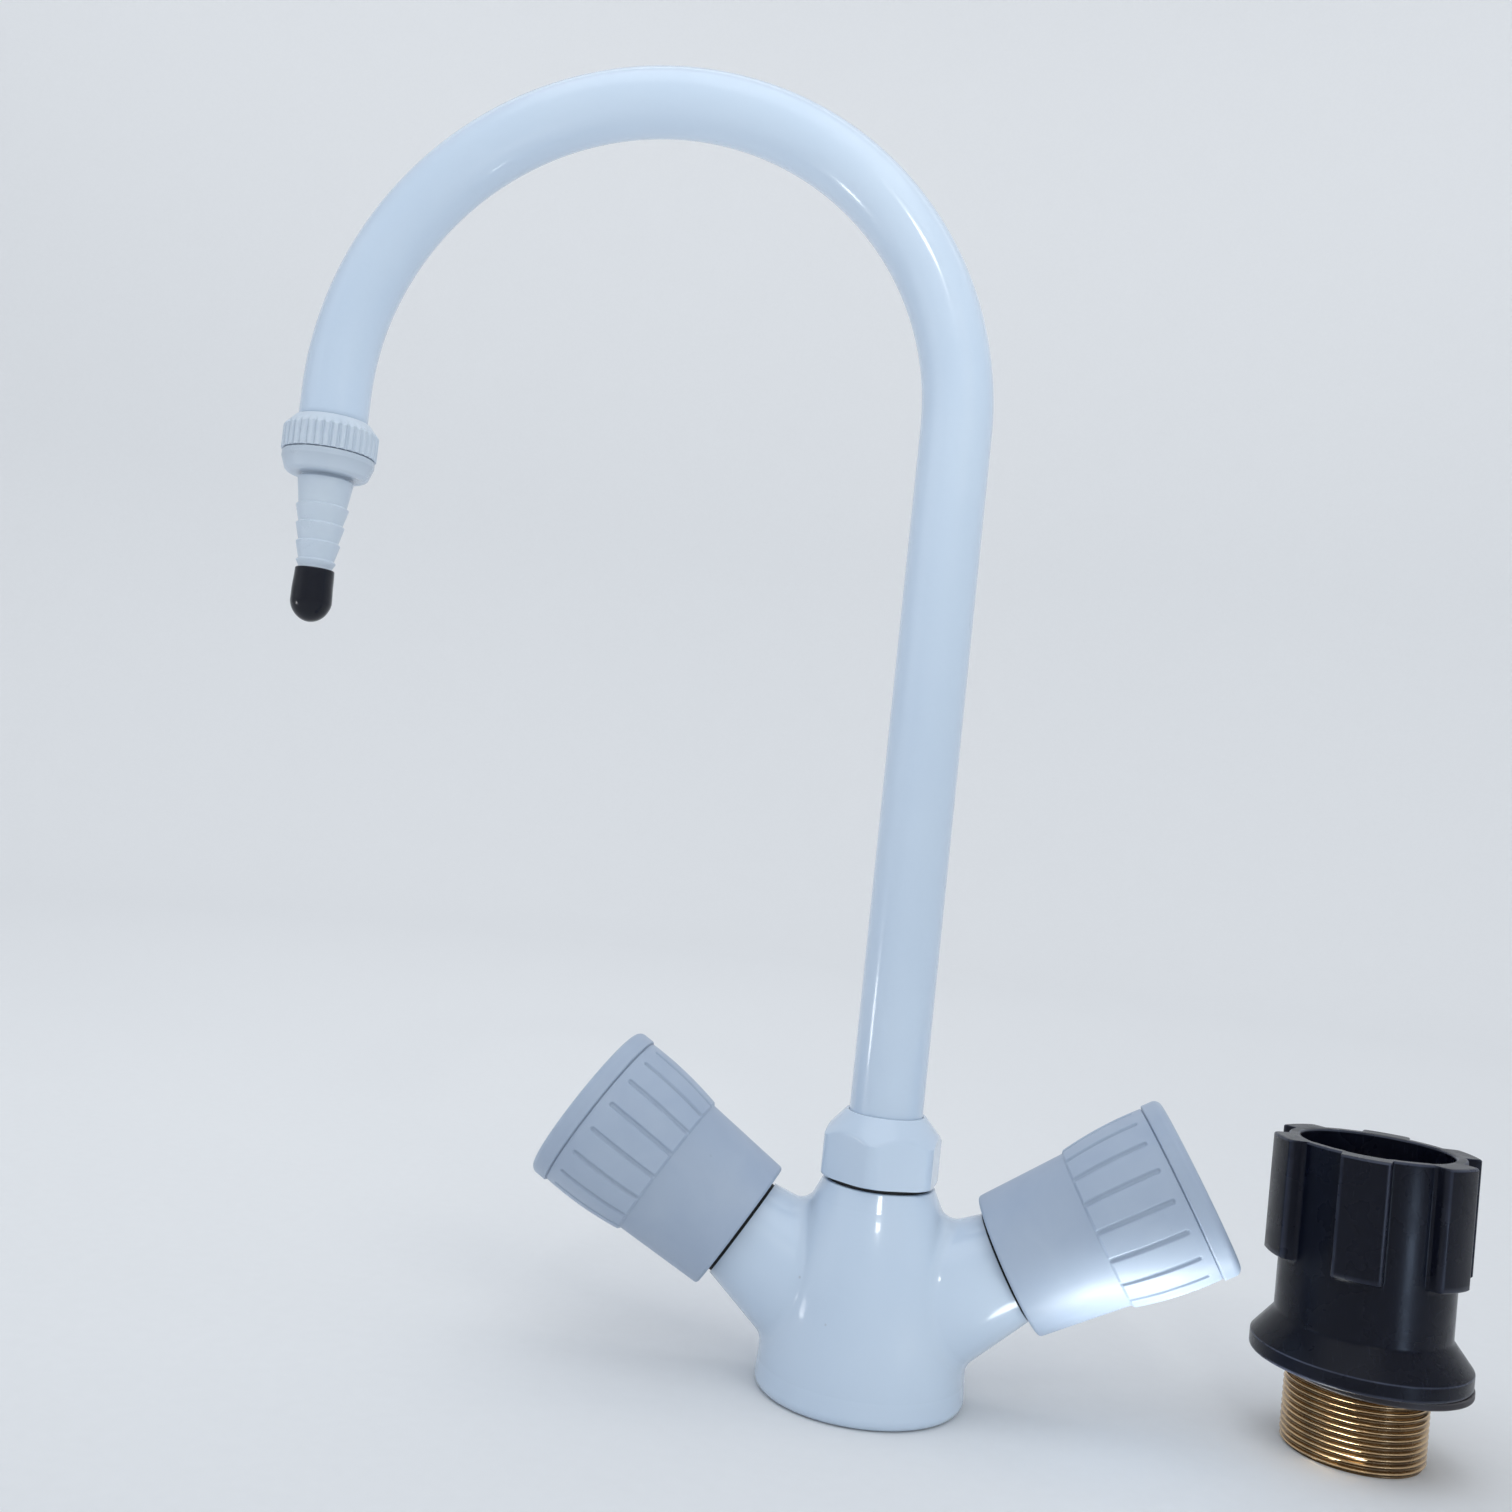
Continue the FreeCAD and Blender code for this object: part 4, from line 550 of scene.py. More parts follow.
BRASS_BRIGHT, STEEL_BRIGHT = (0.64, 0.44, 0.24, 1), (0.60, 0.60, 0.60, 1)
BRASS_BROWN, STEEL_GREY = (0.28, 0.185, 0.11, 1), (0.42, 0.41, 0.40, 1)
BRASS_ROOT, STEEL_ROOT = (0.07, 0.048, 0.03, 1), (0.1, 0.1, 0.1, 1)
BRASS = bare_metal(
    "turned_brass", BRASS_BRIGHT, BRASS_BROWN, BRASS_ROOT, dull_at=0.15, stain_share=0.8
)
STEEL = bare_metal(
    "brushed_steel", STEEL_BRIGHT, STEEL_GREY, STEEL_ROOT, dull_at=0.24, stain_share=0.4
)
print("finishes:", BRASS.name, "and", STEEL.name)

# %% [markdown]
# ## Black parts
# The clamping nut is black glass-filled nylon: satin, faintly mottled, and paler along its edges,
# partly where they have rubbed and partly as a painted edge highlight. The nozzle's cap is soft
# dip-moulded vinyl, smoother and a little wetter to look at. The washer is a flat blackened ring,
# and the seals are matt rubber. Each could have nodes of its own, but near black they differ only
# in gloss, mottle and pale edges, so one function makes all four.

# %% Black nylon, vinyl, washer and rubber


def black_plastic(name, dark, pale, dull_at, grain, mottle, shine, scratched):
    """Near black with a mottled gloss, paler in scratches, at dust specks and on the edges.

    The pale edges are partly wear and partly a painted edge highlight.
    """
    constants = {"IOR": 1.5, "Specular IOR Level": shine}
    material, tree, shader, place = start_finish(name, constants)
    skin = use(tree, SKIN, {"Place": place, "Grain": 2400.0})
    marks = use(tree, HANDLING, {"Place": place, "Size": 130.0})
    specks = use(tree, SPECKS, {"Place": place, "Cells": 260.0, "Few": 0.97})
    worn = add(tree, "Attribute", attribute_name="worn").outputs["Fac"]
    broken = sums(tree, "MULTIPLY_ADD", skin.outputs["Flow"], 0.6, 0.4)
    # The pale edges are partly wear and partly a painted edge highlight.
    rubbed = sums(tree, "MULTIPLY", worn, broken)
    rubbed = sums(tree, "MULTIPLY_ADD", marks.outputs["Scratch"], scratched, rubbed)
    rubbed = sums(tree, "MULTIPLY_ADD", specks.outputs["Speck"], scratched, rubbed)
    tone = blended(tree, sums(tree, "MINIMUM", rubbed, 1.0), dark, pale)
    dull = sums(tree, "MULTIPLY_ADD", skin.outputs["Flow"], mottle, dull_at)
    dull = sums(tree, "MULTIPLY_ADD", marks.outputs["Smudge"], 0.08, dull)
    bump = {"Height": skin.outputs["Grain"], "Strength": grain, "Distance": 0.00008}
    relief = add(tree, "Bump", bump).outputs[0]
    fill(shader, {"Base Color": tone, "Roughness": dull, "Normal": relief})
    return material


# The nut's pale tone serves wear, scratches and specks, and a painted highlight on its edges.
NUT_BLACK, NUT_WEAR_AND_SHEEN = (0.003, 0.004, 0.010, 1), (0.06, 0.068, 0.10, 1)
VINYL_BLACK, VINYL_DUSTY = (0.005, 0.006, 0.012, 1), (0.02, 0.02, 0.03, 1)
WASHER_BLACK, WASHER_RUBBED = (0.018, 0.015, 0.019, 1), (0.09, 0.08, 0.08, 1)
RUBBER_BLACK, RUBBER_DUSTY = (0.014, 0.014, 0.015, 1), (0.06, 0.06, 0.06, 1)
BLACK_NYLON = black_plastic(
    "black_nylon", NUT_BLACK, NUT_WEAR_AND_SHEEN,
    dull_at=0.23, grain=0.2, mottle=0.07, shine=0.17, scratched=0.2,
)
VINYL = black_plastic(
    "black_vinyl", VINYL_BLACK, VINYL_DUSTY,
    dull_at=0.15, grain=0.05, mottle=0.04, shine=0.3, scratched=0.03,
)
BLACKENED = black_plastic(
    "washer_black", WASHER_BLACK, WASHER_RUBBED,
    dull_at=0.42, grain=0.2, mottle=0.12, shine=0.4, scratched=0.3,
)
RUBBER = black_plastic(
    "seal_rubber", RUBBER_BLACK, RUBBER_DUSTY,
    dull_at=0.6, grain=0.3, mottle=0.10, shine=0.4, scratched=0.2,
)
print("finishes:", [finish.name for finish in (BLACK_NYLON, VINYL, BLACKENED, RUBBER)])

# %% [markdown]
# ## CAD nodes that stay
# The cast body is two tilted necks blended into a turned bell. The CAD solid already has its
# true fillets and comes with smooth normals, so it stays and only gets its lacquer. The small
# parts inside stay too. The slot that the record gives each node says which finish it takes.

# %% Finishes for the CAD nodes
SLOT_FINISH = {
    "white_coating": LACQUERED,
    "handle_plastic": HANDLE_NYLON,
    "brass": BRASS,
    "steel": STEEL,
    "black_washer": BLACKENED,
    "black_plastic": BLACK_NYLON,
    "black_cap": VINYL,
    "rubber": RUBBER,
}

for name, item in nodes.items():
    for slot in item.material_slots:
        slot.material = SLOT_FINISH[slot.material.name.split(".")[0]]
print("dressed", len(nodes), "CAD nodes")

# %% [markdown]
# ## The arched spout
# The spout is one tube bent over a former. A bend stretches the outer wall and squeezes the
# section, so a real arch is a touch narrower across the bend. A curve with a round bevel would
# bend as well, but it swells or shrinks a section evenly all round. So the tube is turned here
# on a straight axis, and then the axis is laid along the riser, the half circle and the short
# drop, where the section can be squeezed one way only.

# %% The spout pipe
PIPE_RADIUS, PIPE_BORE = 9.0, 8.0
PIPE_FOOT, ARCH_HEIGHT, PIPE_TIP = 44.0, 236.5, 226.8
ARCH_RADIUS = 82.5
RISER = ARCH_HEIGHT - PIPE_FOOT
ARCH = math.pi * ARCH_RADIUS
DROP = ARCH_HEIGHT - PIPE_TIP
FLATTENED = 0.12


def laid_along_arch(grid):
    """Takes the height of a straight tube as distance along riser, half circle and drop.

    On the half circle a point at distance s and offset x stands at an angle (s - riser) / R,
    at R + x from the centre; x points away from the centre all the way.
    """
    across, back, along = grid[..., 0], grid[..., 1], grid[..., 2]
    angle = np.clip((along - RISER) / ARCH_RADIUS, 0, math.pi)
    squeeze = 1 - FLATTENED / PIPE_RADIUS * eased(np.minimum(angle, math.pi - angle) / 0.3)
    reach = ARCH_RADIUS + across * squeeze
    below_arch = np.where(angle <= 0, along - RISER, 0)
    below_arch += np.where(angle >= math.pi, RISER + ARCH - along, 0)
    x = reach * np.cos(angle) - ARCH_RADIUS
    z = ARCH_HEIGHT + reach * np.sin(angle) + below_arch
    return np.stack([x, back, z], axis=-1)


def pipe_stations(on_arch):
    """Distances along the pipe: a few on each straight part, many on the half circle."""
    riser = np.linspace(0, RISER, 12, endpoint=False)
    arch = np.linspace(RISER, RISER + ARCH, on_arch, endpoint=False)
    drop = np.linspace(RISER + ARCH, RISER + ARCH + DROP, 4)
    return np.concatenate([riser, arch, drop])


def spout_pipe():
    """Outer wall up, inner wall back down, closed as a ring over both thin ends."""
    outside = pipe_stations(150)
    inside = pipe_stations(50)[::-1]
    rim = np.repeat([PIPE_RADIUS, PIPE_BORE], [len(outside), len(inside)])
    line = np.stack([rim, np.concatenate([outside, inside])], axis=1)
    return laid_along_arch(turned(line, around(96)))


build("white_spout_pipe", spout_pipe(), "spout", "spout_pipe", LACQUERED)

# %% [markdown]
# ## The union nut
# A hexagon bar is turned in the lathe until its corners are round, and then its top is turned to
# a slope. The slope cuts each flat in an arched curve, which is what makes a nut look like a
# nut. Boolean cuts give that curve with hard edges. Here the nut is the least of three radii at
# each height and angle: the turned side, the slope and the flat, and a soft least rounds every
# edge between them as thick lacquer does.

# %% The union nut
NUT_FOOT, NUT_TOP = 51.4, 67.3
NUT_FLATS, NUT_TURNED, NUT_TOP_DIAMETER = 27.0, 30.0, 19.6
NUT_SLOPE = 5.9
NUT_ANGLE = -96.6
NUT_SKIRT, NUT_SKIRT_FOOT = 12.0, 43.4
NUT_BORE, NUT_WIDE_BORE, NUT_BORE_STEP = 9.12, 9.45, 45.0


def flat_radius(angles, across, sides, turn):
    """Distance to the nearest side of a polygon: half its width / cos(angle from the side)."""
    step = 2 * np.pi / sides
    off = (angles - np.radians(turn)) % step - step / 2
    return across / 2 / np.cos(off)


def union_nut():
    """Turned outline, then every radius above the skirt is held inside the hexagon."""
    corners = [
        (NUT_SKIRT, NUT_SKIRT_FOOT),
        (NUT_SKIRT, NUT_FOOT),
        (NUT_TURNED / 2, NUT_FOOT, 0.9),
        (NUT_TURNED / 2, NUT_TOP - NUT_SLOPE, 0.5),
        (NUT_TOP_DIAMETER / 2, NUT_TOP, 0.25),
        (NUT_BORE, NUT_TOP, 0.1),
        (NUT_BORE, NUT_BORE_STEP),
        (NUT_WIDE_BORE, NUT_BORE_STEP),
        (NUT_WIDE_BORE, NUT_SKIRT_FOOT),
    ]
    line = outline(corners)
    line = divided(np.vstack([line, line[:1]]), 0.3)[:-1]
    angles = around(360)
    flats = flat_radius(angles, NUT_FLATS, 6, NUT_ANGLE)[None]
    radius = np.repeat(line[:, :1], len(angles), axis=1)
    least = NUT_SKIRT + 0.05
    held = np.maximum(soft_least(radius, flats, 0.45), least)
    return turned(line, angles, np.where(line[:, :1] > least, held, radius))


build("white_union_nut", union_nut(), "tap_body", "spout_union_nut", LACQUERED)

# %% [markdown]
# ## The handles
# Each handle is one moulding: a smooth sleeve that widens outwards, a small step, and a band
# with eighteen grooves for wet fingers. A groove ends round near the cap and runs out open at
# the step. Cutting eighteen capsules with booleans leaves hard, unshaded edges. Instead the
# radius is a function of angle and length: the band's gentle bulge, less a groove depth that
# depends on the distance to the nearest groove's centre line. The same depth, and a thin line
# along the step, give the painted shade in the hollow mask.

# %% The handle's measures
SLEEVE_FOOT, SLEEVE_TOP, BAND_FOOT, BAND_TOP = 38.3, 61.1, 61.7, 82.8
SLEEVE_SMALL, SLEEVE_LARGE, BAND_SMALL, BAND_LARGE = 17.15, 18.55, 19.25, 20.9
BAND_BULGE = 0.6
GROOVES = 18
GROOVE_HALF_WIDTH, GROOVE_DEPTH, GROOVE_END = 0.72, 0.5, 80.5
SKIRT_BORE, SKIRT_ROOF, CAP_BORE, CAP_SEAT = 15.3, 66.2, 17.6, 71.2
SQUARE_BORE, SQUARE_ROOF, SCREW_HOLE = 5.2, 69.4, 2.2
BOSS_RADIUS, BOSS_FOOT = 6.5, 61.6
NECK_TILT = 59.0
AXIS_HEIGHT = 15.35
GROOVE_TURN = {"hot": 3.8, "cold": 9.4}
TILT = {"hot": -NECK_TILT, "cold": NECK_TILT}
print("one groove every", 360 / GROOVES, "degrees,", 2 * GROOVE_HALF_WIDTH, "mm wide")

# %% The grooved handles


def onto_neck(grid, side):
    """Tilts a piece drawn upright about Y, as its neck is, and lifts it to where axes cross."""
    angle = math.radians(TILT[side])
    x, y, z = grid[..., 0], grid[..., 1], grid[..., 2]
    across = x * math.cos(angle) + z * math.sin(angle)
    up = z * math.cos(angle) - x * math.sin(angle)
    return np.stack([across, y, up + AXIS_HEIGHT], axis=-1)


def band_radius(height):
    """The band's side: a straight taper plus a parabola that is highest at mid length."""
    part = np.clip((height - BAND_FOOT) / (BAND_TOP - BAND_FOOT), 0, 1)
    return BAND_SMALL + (BAND_LARGE - BAND_SMALL) * part + BAND_BULGE * 4 * part * (1 - part)


def groove_angles(turn):
    """Columns for one panel and its groove, dense across the groove, repeated eighteen times."""
    near = np.array([0, 0.18, 0.34, 0.46, 0.56, 0.66, 0.76, 0.92, 1.2]) / BAND_LARGE
    half_step = math.pi / GROOVES
    panel = np.linspace(near[-1], half_step, 5)[1:-1]
    right = np.concatenate([near, panel])
    one = np.concatenate([-right[:0:-1], right, [half_step]])
    starts = np.radians(-90 + turn) + np.arange(GROOVES) * 2 * half_step
    return (starts[:, None] + one).ravel(), np.tile(one, GROOVES)


def groove_share(offset, height):
    """How deep the groove is, 0 to 1, from the distance to its centre line or round end."""
    past = np.maximum(height - (GROOVE_END - GROOVE_HALF_WIDTH), 0)
    distance = np.hypot(offset, past)
    return eased((GROOVE_HALF_WIDTH + 0.06 - distance) / (GROOVE_HALF_WIDTH * 0.75))


def handle_outline():
    """Sleeve, step and band on the outside, then the hollow for the cap, web and skirt."""
    corners = [
        (SKIRT_BORE, SLEEVE_FOOT, 0.4),
        (SLEEVE_SMALL, SLEEVE_FOOT, 1.3),
        (SLEEVE_LARGE, SLEEVE_TOP, 0.1),
        (BAND_SMALL, BAND_FOOT, 0.2),
    ]
    heights = np.concatenate([np.linspace(62.4, 79.2, 42), np.linspace(79.4, 81.0, 12)])
    band = [(radius, height) for radius, height in zip(band_radius(heights), heights)]
    inside = [
        (BAND_LARGE, BAND_TOP, 0.3),
        (CAP_BORE, BAND_TOP, 0.2),
        (CAP_BORE, CAP_SEAT),
        (SCREW_HOLE, CAP_SEAT),
        (SCREW_HOLE, SQUARE_ROOF),
        (SQUARE_BORE, SQUARE_ROOF),
        (SQUARE_BORE, BOSS_FOOT),
        (BOSS_RADIUS, BOSS_FOOT),
        (BOSS_RADIUS, SKIRT_ROOF),
        (SKIRT_BORE, SKIRT_ROOF),
    ]
    return outline(corners + band + inside)


def handle(side):
    """Lowers the outer rows to the groove's floor where a groove runs."""
    line = handle_outline()
    angles, offset = groove_angles(GROOVE_TURN[side])
    height = line[:, 1:]
    radius = np.repeat(line[:, :1], len(angles), axis=1)
    outer = (line[:, :1] > SLEEVE_LARGE - 0.3) & (height > SLEEVE_TOP - 0.2)
    share = groove_share(offset[None] * band_radius(height), height) * outer
    floor = band_radius(height) - GROOVE_DEPTH
    radius -= np.maximum(radius - floor, 0) * share
    # Painted shade: the groove depth darkens the grooves, and a thin line darkens the step.
    hollow = share * eased((height - SLEEVE_TOP) / 1.2)
    seam = np.exp(-(((height - SLEEVE_TOP) / 0.35) ** 2)) * (line[:, :1] > 18) * 0.5
    return onto_neck(turned(line, angles, radius), side), np.maximum(hollow, seam)


for side in ("hot", "cold"):
    grid, hollow = handle(side)
    name, body, node = side + "_grooved_handle", side + "_control", side + "_handle"
    build(name, grid, body, node, HANDLE_NYLON, hollow=hollow)

# %% [markdown]
# ## The end caps
# A cap is pushed into the open end of each handle. It stands slightly proud of the band, with a
# thin dark seam under it, and its outer edge is well rounded. A bevelled cylinder would do for
# what shows, but the seam comes from a real step behind the lip, so the underside is drawn too,
# and a thin band of painted shade darkens it further.
# The cap has no bore, so its outline starts and ends on the axis.

# %% The end caps
CAP_FOOT, CAP_TOP = 83.0, 87.8
CAP_RADIUS, SEAM_RADIUS = 21.4, 20.62
SPIGOT_RADIUS, SPIGOT_FOOT, SPIGOT_BORE, CAP_ROOF = 17.4, 78.0, 15.5, 85.8


def end_cap(side):
    """The underside and spigot first, then the lip, the rounded edge and a faintly domed face."""
    corners = [
        (0, CAP_ROOF),
        (SPIGOT_BORE, CAP_ROOF),
        (SPIGOT_BORE, SPIGOT_FOOT),
        (SPIGOT_RADIUS, SPIGOT_FOOT, 0.3),
        (SPIGOT_RADIUS, CAP_FOOT - 0.15),
        (SEAM_RADIUS, CAP_FOOT - 0.15, 0.05),
        (SEAM_RADIUS + 0.1, CAP_FOOT + 0.05, 0.05),
        (CAP_RADIUS, CAP_FOOT + 0.05, 0.35),
        (CAP_RADIUS, CAP_TOP - 0.15, 1.8),
        (12.0, CAP_TOP - 0.04),
        (0, CAP_TOP),
    ]
    line = divided(outline(corners, steps=8, ring=False), 1.5)
    angles = around(144)
    # Painted shade along the seam under the lip.
    from_seam = np.hypot(line[:, :1] - SEAM_RADIUS, line[:, 1:] - CAP_FOOT)
    shade_and_dust = np.exp(-((from_seam / 0.3) ** 2))
    return onto_neck(turned(line, angles), side), np.repeat(shade_and_dust, len(angles), axis=1)


for side in ("hot", "cold"):
    grid, hollow = end_cap(side)
    name, body, node = side + "_end_cap", side + "_control", side + "_handle_cap"
    build(name, grid, body, node, HANDLE_NYLON, "poles", hollow)

# %% [markdown]
# ## The ribbed nut
# The little nut at the outlet is moulded with thirty-six ribs, which the sloping top cuts off.
# Notches cut by booleans would leave sharp ribs, and a moulding has none. Here the nut is the
# least of the slope and a ribbed radius, the valleys between the ribs are eased, and painted
# shade darkens them a little.

# %% The ribbed nut
OUTLET = -165.0
RING_FOOT, RING_TOP, RING_RADIUS, RING_TOP_RADIUS = 219.3, 228.5, 12.4, 9.8
RING_BORE, RING_LIP_BORE, RING_LIP = 10.6, 9.25, 1.5
RIBS, RIB_DEPTH, COLUMNS_PER_RIB = 36, 0.65, 12


def at_outlet(grid):
    """Moves a piece from the frame's axis to the axis of the outlet."""
    return grid + np.array([OUTLET, 0, 0])


def ring_nut():
    """Outer rows are held to the ribbed radius: V-shaped valleys, softened at their foot."""
    corners = [
        (RING_BORE, RING_FOOT, 0.15),
        (RING_RADIUS, RING_FOOT, 0.3),
        (RING_RADIUS, RING_TOP - 3, 0.5),
        (RING_TOP_RADIUS, RING_TOP, 0.3),
        (RING_LIP_BORE, RING_TOP, 0.1),
        (RING_LIP_BORE, RING_TOP - RING_LIP),
        (RING_BORE, RING_TOP - RING_LIP),
    ]
    line = divided(outline(corners), 0.5)
    angles = around(RIBS * COLUMNS_PER_RIB)
    column = np.arange(len(angles)) % COLUMNS_PER_RIB
    part = np.abs(column / COLUMNS_PER_RIB - 0.5) * 2
    valley = eased((0.66 - part) / 0.62)
    ribbed = RING_RADIUS - RIB_DEPTH * valley[None]
    radius = np.repeat(line[:, :1], len(angles), axis=1)
    outer = line[:, :1] > RING_BORE + 0.1
    radius = np.where(outer, np.minimum(radius, soft_least(radius, ribbed, 0.15)), radius)
    # Painted shade darkens the valleys between the ribs.
    hollow = outer * valley[None] * eased(radius - RING_BORE) * 0.45
    return at_outlet(turned(line, angles, radius)), hollow


grid, hollow = ring_nut()
build(
    "ribbed_ring_nut", grid, "spout", "nozzle_ring_nut", NOZZLE_PLASTIC,
    hollow=hollow,
)

# %% [markdown]
# ## The hose nozzle
# The nozzle below the nut has a round flange, a recess under the flange, and four ridges that
# grip a hose. A ridge is a short ledge that faces up, so that a hose slides on easily and is
# held when it is pulled, and the stem tapers from each ridge to the next. The ledges catch the
# light as thin bright rings. Cones could be stacked and joined for this, but all of it is round,
# so one outline is simpler, with a loop for the ridges. The recess, and the side of the flange
# that lies in the ring nut's shadow, are darkened with painted shade.

# %% The hose nozzle
FLANGE_FOOT, FLANGE_TOP, FLANGE_RADIUS = 213.5, 219.15, 12.0
STEM_TOP, STEM_RADIUS, RECESS_RADIUS = 212.7, 7.3, 6.4
RIDGES, RIDGE_STEP, RIDGE_TOP, RIDGE_SPAN = 4, 0.6, 205.2, 14.6
FIRST_RIDGE, LAST_RIDGE = 6.85, 5.2
TIP_RADIUS, TIP_TOP, NOZZLE_TIP, NOZZLE_BORE = 4.4, 189.2, 179.0, 3.0
HEAD_RADIUS, HEAD_TOP = 10.5, 223.6


def ridged_stem():
    """Corners up the stem: at each ridge its widest place, then the ledge that slopes inwards."""
    stem = []
    for number in reversed(range(RIDGES)):
        part = number / (RIDGES - 1)
        radius = FIRST_RIDGE + (LAST_RIDGE - FIRST_RIDGE) * part
        height = RIDGE_TOP - RIDGE_SPAN * part
        stem += [(radius, height, 0.2), (radius - RIDGE_STEP, height + RIDGE_STEP * 0.8, 0.3)]
    return stem


def hose_nozzle():
    """Bore, tip, ridges, the recess under the flange, the round flange and the thread core."""
    corners = [
        (NOZZLE_BORE, NOZZLE_TIP),
        (TIP_RADIUS, NOZZLE_TIP, 0.3),
        (TIP_RADIUS, TIP_TOP, 0.2),
        *ridged_stem(),
        (STEM_RADIUS, STEM_TOP, 0.5),
        (RECESS_RADIUS, STEM_TOP, 0.1),
        (RECESS_RADIUS, FLANGE_FOOT, 0.25),
        (FLANGE_RADIUS - 1.4, FLANGE_FOOT, 1.6),
        (FLANGE_RADIUS, FLANGE_TOP - 1.7, 0.5),
        (FLANGE_RADIUS, FLANGE_TOP, 0.5),
        (HEAD_RADIUS, FLANGE_TOP, 0.1),
        (HEAD_RADIUS, HEAD_TOP, 0.3),
        (NOZZLE_BORE, HEAD_TOP),
    ]
    line = outline(corners, steps=7)
    angles = around(128)
    # Painted shade: the recess under the flange, and the flange's side in the ring nut's shadow.
    from_recess = np.hypot(line[:, :1] - RECESS_RADIUS, line[:, 1:] - FLANGE_FOOT)
    recess = np.exp(-((from_recess / 0.9) ** 2))
    flange_shadow = 0.8 * eased(line[:, :1] - FLANGE_RADIUS + 1.2)
    hollow = np.repeat(np.maximum(recess, flange_shadow), len(angles), axis=1)
    return at_outlet(turned(line, angles)), hollow


grid, hollow = hose_nozzle()
build(
    "ridged_hose_nozzle", grid, "spout", "hose_nozzle", NOZZLE_PLASTIC,
    hollow=hollow,
)

# %% [markdown]
# ## The black cap
# The cap over the nozzle's tip is made by dipping a pin in vinyl, so it is a little uneven: its
# side swells towards the domed end and its rim is soft. Displaced noise would make it bumpy, and
# dipped vinyl is smooth. So a slow wave runs round it, a few hundredths of a millimetre high,
# and keeps its highlight from being ruler straight.

# %% The vinyl cap
COVER_TIP, COVER_RIM, DOME_HEIGHT = 174.5, 188.6, 5.5
COVER_RADIUS, COVER_RIM_RADIUS = 5.4, 5.1
COVER_BORE, COVER_BORE_END = 4.5, 178.9


def dome(count):
    """From the axis to the widest place: r = R sin a, z = H (1 - cos a), slightly flattened."""
    part = np.linspace(0, math.pi / 2, count)
    rise = [DOME_HEIGHT * (1 - math.cos(a) ** 1.15) for a in part]
    return [(COVER_RADIUS * math.sin(a), COVER_TIP + up) for a, up in zip(part, rise)]


def vinyl_cap():
    """The dome, the tapering side, the soft rim, and the blind hole that the nozzle fills."""
    corners = [
        *dome(16),
        (5.33, 183.0),
        (COVER_RIM_RADIUS, COVER_RIM, 0.3),
        (COVER_BORE, COVER_RIM, 0.2),
        (COVER_BORE, COVER_BORE_END),
        (0, COVER_BORE_END),
    ]
    line = divided(outline(corners, ring=False), 1.0)
    angles = around(72)
    wave = 0.03 * (np.cos(3 * angles + line[:, 1:] * 0.9) - 1)
    wave = wave * np.minimum(line[:, :1] / 5, 1) * (line[:, :1] > COVER_BORE + 0.05)
    return at_outlet(turned(line, angles, line[:, :1] + wave))


build("vinyl_nozzle_cap", vinyl_cap(), "nozzle_cover", "nozzle_cap", VINYL, "poles")

# %% [markdown]
# ## The threaded fixing tube
# The brass tube has a fine metric thread over its whole length. A stack of rings would look the
# same from afar but has no start and no lead. A true thread is one groove that climbs by its
# pitch each turn, so the radius depends on height minus angle. Its flanks stand about sixty
# degrees apart between flat crests and roots, and a chamfer cuts it back at both ends.

# %% The fixing tube
FIXING_PLACE = (118.0, 15.0)
TUBE_LENGTH, TUBE_RADIUS, TUBE_EDGE = 60.0, 16.5, 0.9
TUBE_BORE, BORE_EDGE = 14.0, 0.4
PITCH, THREAD_DEPTH, ROWS_PER_TURN = 1.5, 0.85, 8


def at_fixing(grid, shift=0.0):
    """Moves a piece to where the fixing set stands."""
    return grid + np.array([FIXING_PLACE[0] + shift, FIXING_PLACE[1], 0])


def thread_share(height, angles):
    """Depth of the thread, 0 on the crest and 1 at the root, from the phase of the helix."""
    phase = (height / PITCH - angles[None] / (2 * math.pi)) % 1
    flank = np.abs(phase - 0.5) * 2
    return np.clip((0.86 - flank) / 0.62, 0, 1)


def fixing_tube():
    """Threaded outside going up, plain bore coming down, chamfered at both ends."""
    rows = int(TUBE_LENGTH / PITCH * ROWS_PER_TURN)
    height = np.linspace(0, TUBE_LENGTH, rows + 1)
    outer = np.stack([np.full(rows + 1, TUBE_RADIUS), height], axis=1)
    wide = TUBE_BORE + BORE_EDGE
    mouth = [(wide, TUBE_LENGTH), (TUBE_BORE, TUBE_LENGTH - BORE_EDGE)]
    foot = [(TUBE_BORE, BORE_EDGE), (wide, 0)]
    line = np.vstack([outer, mouth, [(TUBE_BORE, TUBE_LENGTH / 2)], foot])
    angles = around(144)
    outside = line[:, :1] > TUBE_BORE + 1
    cut = thread_share(line[:, 1:], angles) * outside
    radius = line[:, :1] - THREAD_DEPTH * cut
    from_end = np.minimum(line[:, 1:], TUBE_LENGTH - line[:, 1:])
    chamfer = TUBE_RADIUS - TUBE_EDGE + from_end
    radius = np.where(outside, np.minimum(radius, chamfer), radius)
    return at_fixing(turned(line, angles, radius)), cut


grid, hollow = fixing_tube()
build("threaded_fixing_tube", grid, "tap_body", "fixing_shank", BRASS, hollow=hollow)

# %% [markdown]
# ## The clamping nut
# The nut is one black moulding. A flange spreads the load, a plain barrel rises from it, and
# six lobes round the upper half give the fingers a grip. Bars joined to a tube would meet it in
# hard corners. Here the radius at each height and angle is the greater of the barrel and the
# lobe, blended where they cross, and the corners of a lobe are cut back a little.

